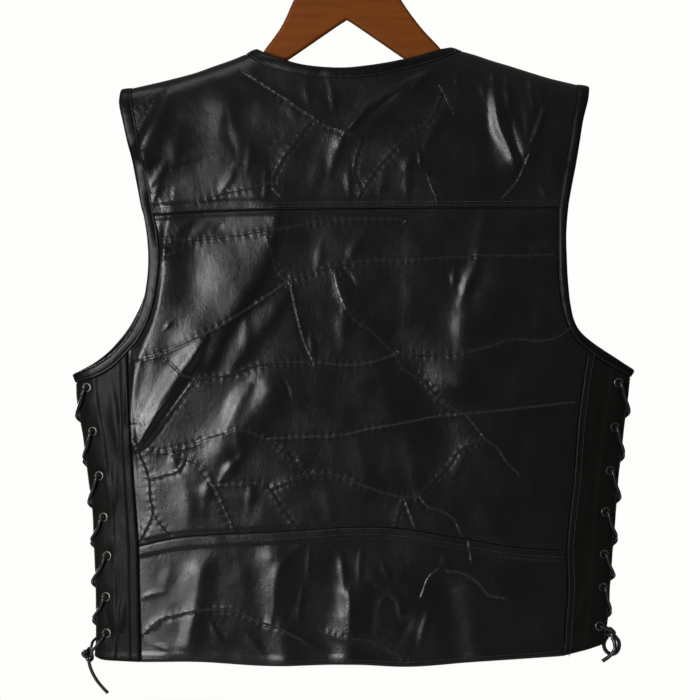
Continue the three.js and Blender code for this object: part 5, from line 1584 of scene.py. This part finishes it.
for hand in (LEFT, RIGHT):
    bar = [point - normal * BAR_DEPTH for point, normal in (SEATS[hand, BACK][0], SEATS[hand, FRONT][0])]
    stations = (lace_climb(hand, BACK, OUTER_CROSSING)[::-1] + bar + lace_climb(hand, FRONT, INNER_CROSSING))
    line = every(smooth_line(stations, 10), LACE_STEP)
    name = f"lace_{HAND_NAME[hand]}"
    lace = round_cord(name + "_thong", line, LACE_RADIUS)
    finished(lace, "lace", name, material=lace_leather)
    print(name, "is", round(way_along(line)[-1] * MM, 3), "m long")

# %% [markdown]
# ## Press studs, hanger and hook
# The front closes with press studs along its edge. Each cap is a shallow dome with a rolled
# rim, turned like the eyelets. The hanger is a board sawn to shape, with its edges rounded
# over: a flat outline with a bevel. The hook is bent steel wire, driven into the wood.

# %% Press studs
STUD_DOWNS = (222, 334, 446, 558)
STUD_X = 2.8
STUD_PROFILE = [
    (0.02, 0.1), (6.9, 0.1), (7.4, 0.4), (7.5, 0.9), (7.2, 1.4), (6.6, 1.65), (6.2, 1.55), (5.6, 1.9),
    (4.2, 2.7), (2.2, 3.1), (0.02, 3.2),
]
for i, down in enumerate(STUD_DOWNS, start=1):
    point, normal = skin([STUD_X], [down], FRONT, lap=lap_rise)
    cap = lathe(f"snap_{i}_cap", STUD_PROFILE, point[0], normal[0], sides=40)
    finished(cap, "steel", f"snap_{i}", material=nickel)

# %% Wood
wood, wood_tree, wood_shader, wood_place = new_material(
    "varnished_wood", Roughness=0.42, Specular_IOR_Level=0.22)
long_grain = node(wood_tree, "ShaderNodeMapping", Vector=wood_place, Scale=(0.12, 1.0, 1.0)).outputs[0]
rings = node(wood_tree, "ShaderNodeTexNoise", Vector=long_grain, Scale=120.0, Detail=6.0, Roughness=0.6,
             Distortion=0.6).outputs[0]
pores = node(wood_tree, "ShaderNodeTexNoise", Vector=long_grain, Scale=700.0, Detail=2.0).outputs[0]
board = colour_between(wood_tree, spread(wood_tree, rings, 0.32, 0.68, 0.0, 1.0),
                       (0.215, 0.050, 0.0030), (0.300, 0.076, 0.0044))
across_board = node(wood_tree, "ShaderNodeSeparateXYZ", Vector=wood_place).outputs["Y"]
# painted shade: the board's rounded rim, away from its two faces, is coloured darker along all its edges
painted_edge_shade = spread(wood_tree, number(wood_tree, "ABSOLUTE", across_board), 0.0040, 0.0069, 0.85, 0.0)
wood_tree.links.new(colour_between(wood_tree, painted_edge_shade, board, (0.030, 0.009, 0.003)),
                    wood_shader.inputs["Base Color"])
stacked_bumps(wood_tree, wood_shader, [(rings, 0.12, 0.0004), (pores, 0.15, 0.00012)])

# %% Hanger and hook
HANGER_THICKNESS = 14.0
HANGER_ROUNDING = 3.2
HANGER_BELOW_SHOULDER = 4.6
HANGER_TIP = 217.0
WOOD_TOP_DOWN = -92.0
HANGER_NECK = [
    (7.5, 86.5, 98), (1.5, 82.5, 94.5), (-21, 66.3, 74), (-48, 53.7, 54.5), (-68, 44, 44),
    (-82, 33, 33), (-90, 18, 18), (WOOD_TOP_DOWN, 6, 6),
]
HANGER_UNDERSIDE = [
    (0.5, -28.4), (8, -23.6), (30, -8.5), (60, 12), (84, 27), (112, 40), (150, 52), (188, 62), (210, 65),
    (HANGER_TIP, 60),
]
ARM_START, ARM_STEP = 100, 21


def hanger_half(hand):
    """Half of the board's outline: its underside, its tip and arm, and its neck."""
    arm = [(hand * x, float(shoulder_line(np.array(hand * x))) + HANGER_BELOW_SHOULDER)
           for x in np.arange(HANGER_TIP, ARM_START, -ARM_STEP)]
    neck_side = [(hand * (left if hand == LEFT else right), down) for down, left, right in HANGER_NECK]
    under = [(hand * x, down) for x, down in HANGER_UNDERSIDE]
    return joined(smooth_line(under, 6), smooth_line([under[-1], *arm], 5),
                  smooth_line([arm[-1], *neck_side], 6))


outline = np.vstack([hanger_half(RIGHT), hanger_half(LEFT)[::-1]])
board_data = bpy.data.curves.new("hanger_board", "CURVE")
board_data.dimensions = "2D"
board_data.fill_mode = "BOTH"
board_data.extrude = (HANGER_THICKNESS / 2 - HANGER_ROUNDING) * MM
board_data.bevel_depth = HANGER_ROUNDING * MM
board_data.offset = -HANGER_ROUNDING * MM
board_data.bevel_resolution = 5
board_spline = board_data.splines.new("POLY")
board_spline.points.add(len(outline) - 1)
flat_outline = [outline[:, 0] * MM, height_at(outline[:, 1]) * MM,
                np.zeros(len(outline)), np.ones(len(outline))]
board_spline.points.foreach_set("co", np.column_stack(flat_outline).ravel())
board_spline.use_cyclic_u = True
hanger = as_mesh(placed("hanger_board", board_data))
# the curve lies flat, so the board is stood up
lying = np.empty(len(hanger.data.vertices) * 3, np.float32)
hanger.data.vertices.foreach_get("co", lying)
lying = lying.reshape(-1, 3)
hanger.data.vertices.foreach_set("co", np.column_stack([lying[:, 0], -lying[:, 2], lying[:, 1]]).ravel())
hanger.data.update()
finished(hanger, "wood", "hanger", material=wood)

HOOK_WIRE_RADIUS = 2.0
HOOK_ARC_RADIUS = 19.0
HOOK_ARC = (-50, 205)  # where the bent part starts and ends, in degrees from +X
HOOK_STEP = 1.2
# the stem's x and its height over the wood
HOOK_STEM = [(0, 0.3), (0, 7), (1.2, 12), (5.5, 16.6)]
turn = np.radians(np.linspace(*HOOK_ARC, 41))
arc = np.column_stack([HOOK_ARC_RADIUS * np.cos(turn), np.zeros(len(turn)),
                       HOOK_WIRE_RADIUS - HOOK_ARC_RADIUS + HOOK_ARC_RADIUS * np.sin(turn)])
stem = np.array([(x, 0, height_at(WOOD_TOP_DOWN) + over) for x, over in HOOK_STEM])
hook = round_cord("hook_wire", every(smooth_line(np.vstack([stem, arc])), HOOK_STEP), HOOK_WIRE_RADIUS)
finished(hook, "steel", "hook", material=bright_steel)
print("hanger faces:", len(hanger.data.polygons))

# %% [markdown]
# ## Light, floor and background
# The picture is a cut-out under one large soft light from the left: the left half of the back
# shines and the right half stays near black. The background is almost white, but the leather's
# edges don't mirror it. So the world is a backdrop for the camera and a dim grey room for the
# leather, and one tall area light, a third of the way round to the left, does most of the
# work. A weaker one lights the hidden front, and a faint one above softens the shoulders.

# %% Light and world
scene = bpy.context.scene
scene.view_settings.view_transform = "Standard"

world = bpy.data.worlds.new("studio")
scene.world = world
world.use_nodes = True
sky = world.node_tree
background = sky.nodes["Background"]
looking = sky.nodes.new("ShaderNodeTexCoord").outputs["Generated"]
direction = node(sky, "ShaderNodeSeparateXYZ", Vector=looking)
upward = spread(sky, direction.outputs["Z"], -0.2, 0.9, 0.0, 1.0)
studio_light = colour_between(sky, upward, (0.085, 0.086, 0.082), (0.180, 0.180, 0.176))
seen_by_camera = sky.nodes.new("ShaderNodeLightPath").outputs["Is Camera Ray"]
backdrop = colour_between(sky, seen_by_camera, studio_light, (0.988, 0.988, 0.970))
sky.links.new(backdrop, background.inputs["Color"])

# each light's place, the point it aims at, its width and height, and its power in watts
LIGHTS = {
    "window_left": ((-1.34, -2.25, -0.26), (0, 0, -0.45), (0.46, 0.92), 33.0),
    "fill_behind": ((-1.3, 2.3, 0.1), (0, 0, -0.45), (0.9, 1.5), 46.0),
    "top_soft": ((-0.6, -0.8, 1.7), (0, 0, -0.4), (1.4, 0.8), 5.0),
}
for name, (place, target, size, power) in LIGHTS.items():
    light_data = bpy.data.lights.new(name, "AREA")
    light_data.shape = "RECTANGLE"
    light_data.size, light_data.size_y = size
    light_data.energy = power
    light = placed(name, light_data)
    light.location = place
    light.rotation_euler = (Vector(target) - Vector(place)).to_track_quat("-Z", "Y").to_euler()

FLOOR_RADIUS = 0.6
FLOOR_HEIGHT = -0.90
FLOOR_SIDES = 96
floor_data = bpy.data.meshes.new("floor")
turn = np.linspace(0, 2 * math.pi, FLOOR_SIDES, endpoint=False)
floor_points = [(FLOOR_RADIUS * math.cos(t), FLOOR_RADIUS * math.sin(t), FLOOR_HEIGHT) for t in turn]
floor_data.from_pydata(floor_points, [], [list(range(FLOOR_SIDES))])
floor = placed("floor", floor_data)
floor_material, floor_tree, floor_shader, floor_place = new_material("pale_floor", Roughness=0.9)
dust = node(floor_tree, "ShaderNodeTexNoise", Vector=floor_place, Scale=3.0).outputs[0]
floor_tree.links.new(colour_between(floor_tree, dust, (0.78, 0.78, 0.77), (0.82, 0.82, 0.81)),
                     floor_shader.inputs["Base Color"])
floor_data.materials.append(floor_material)
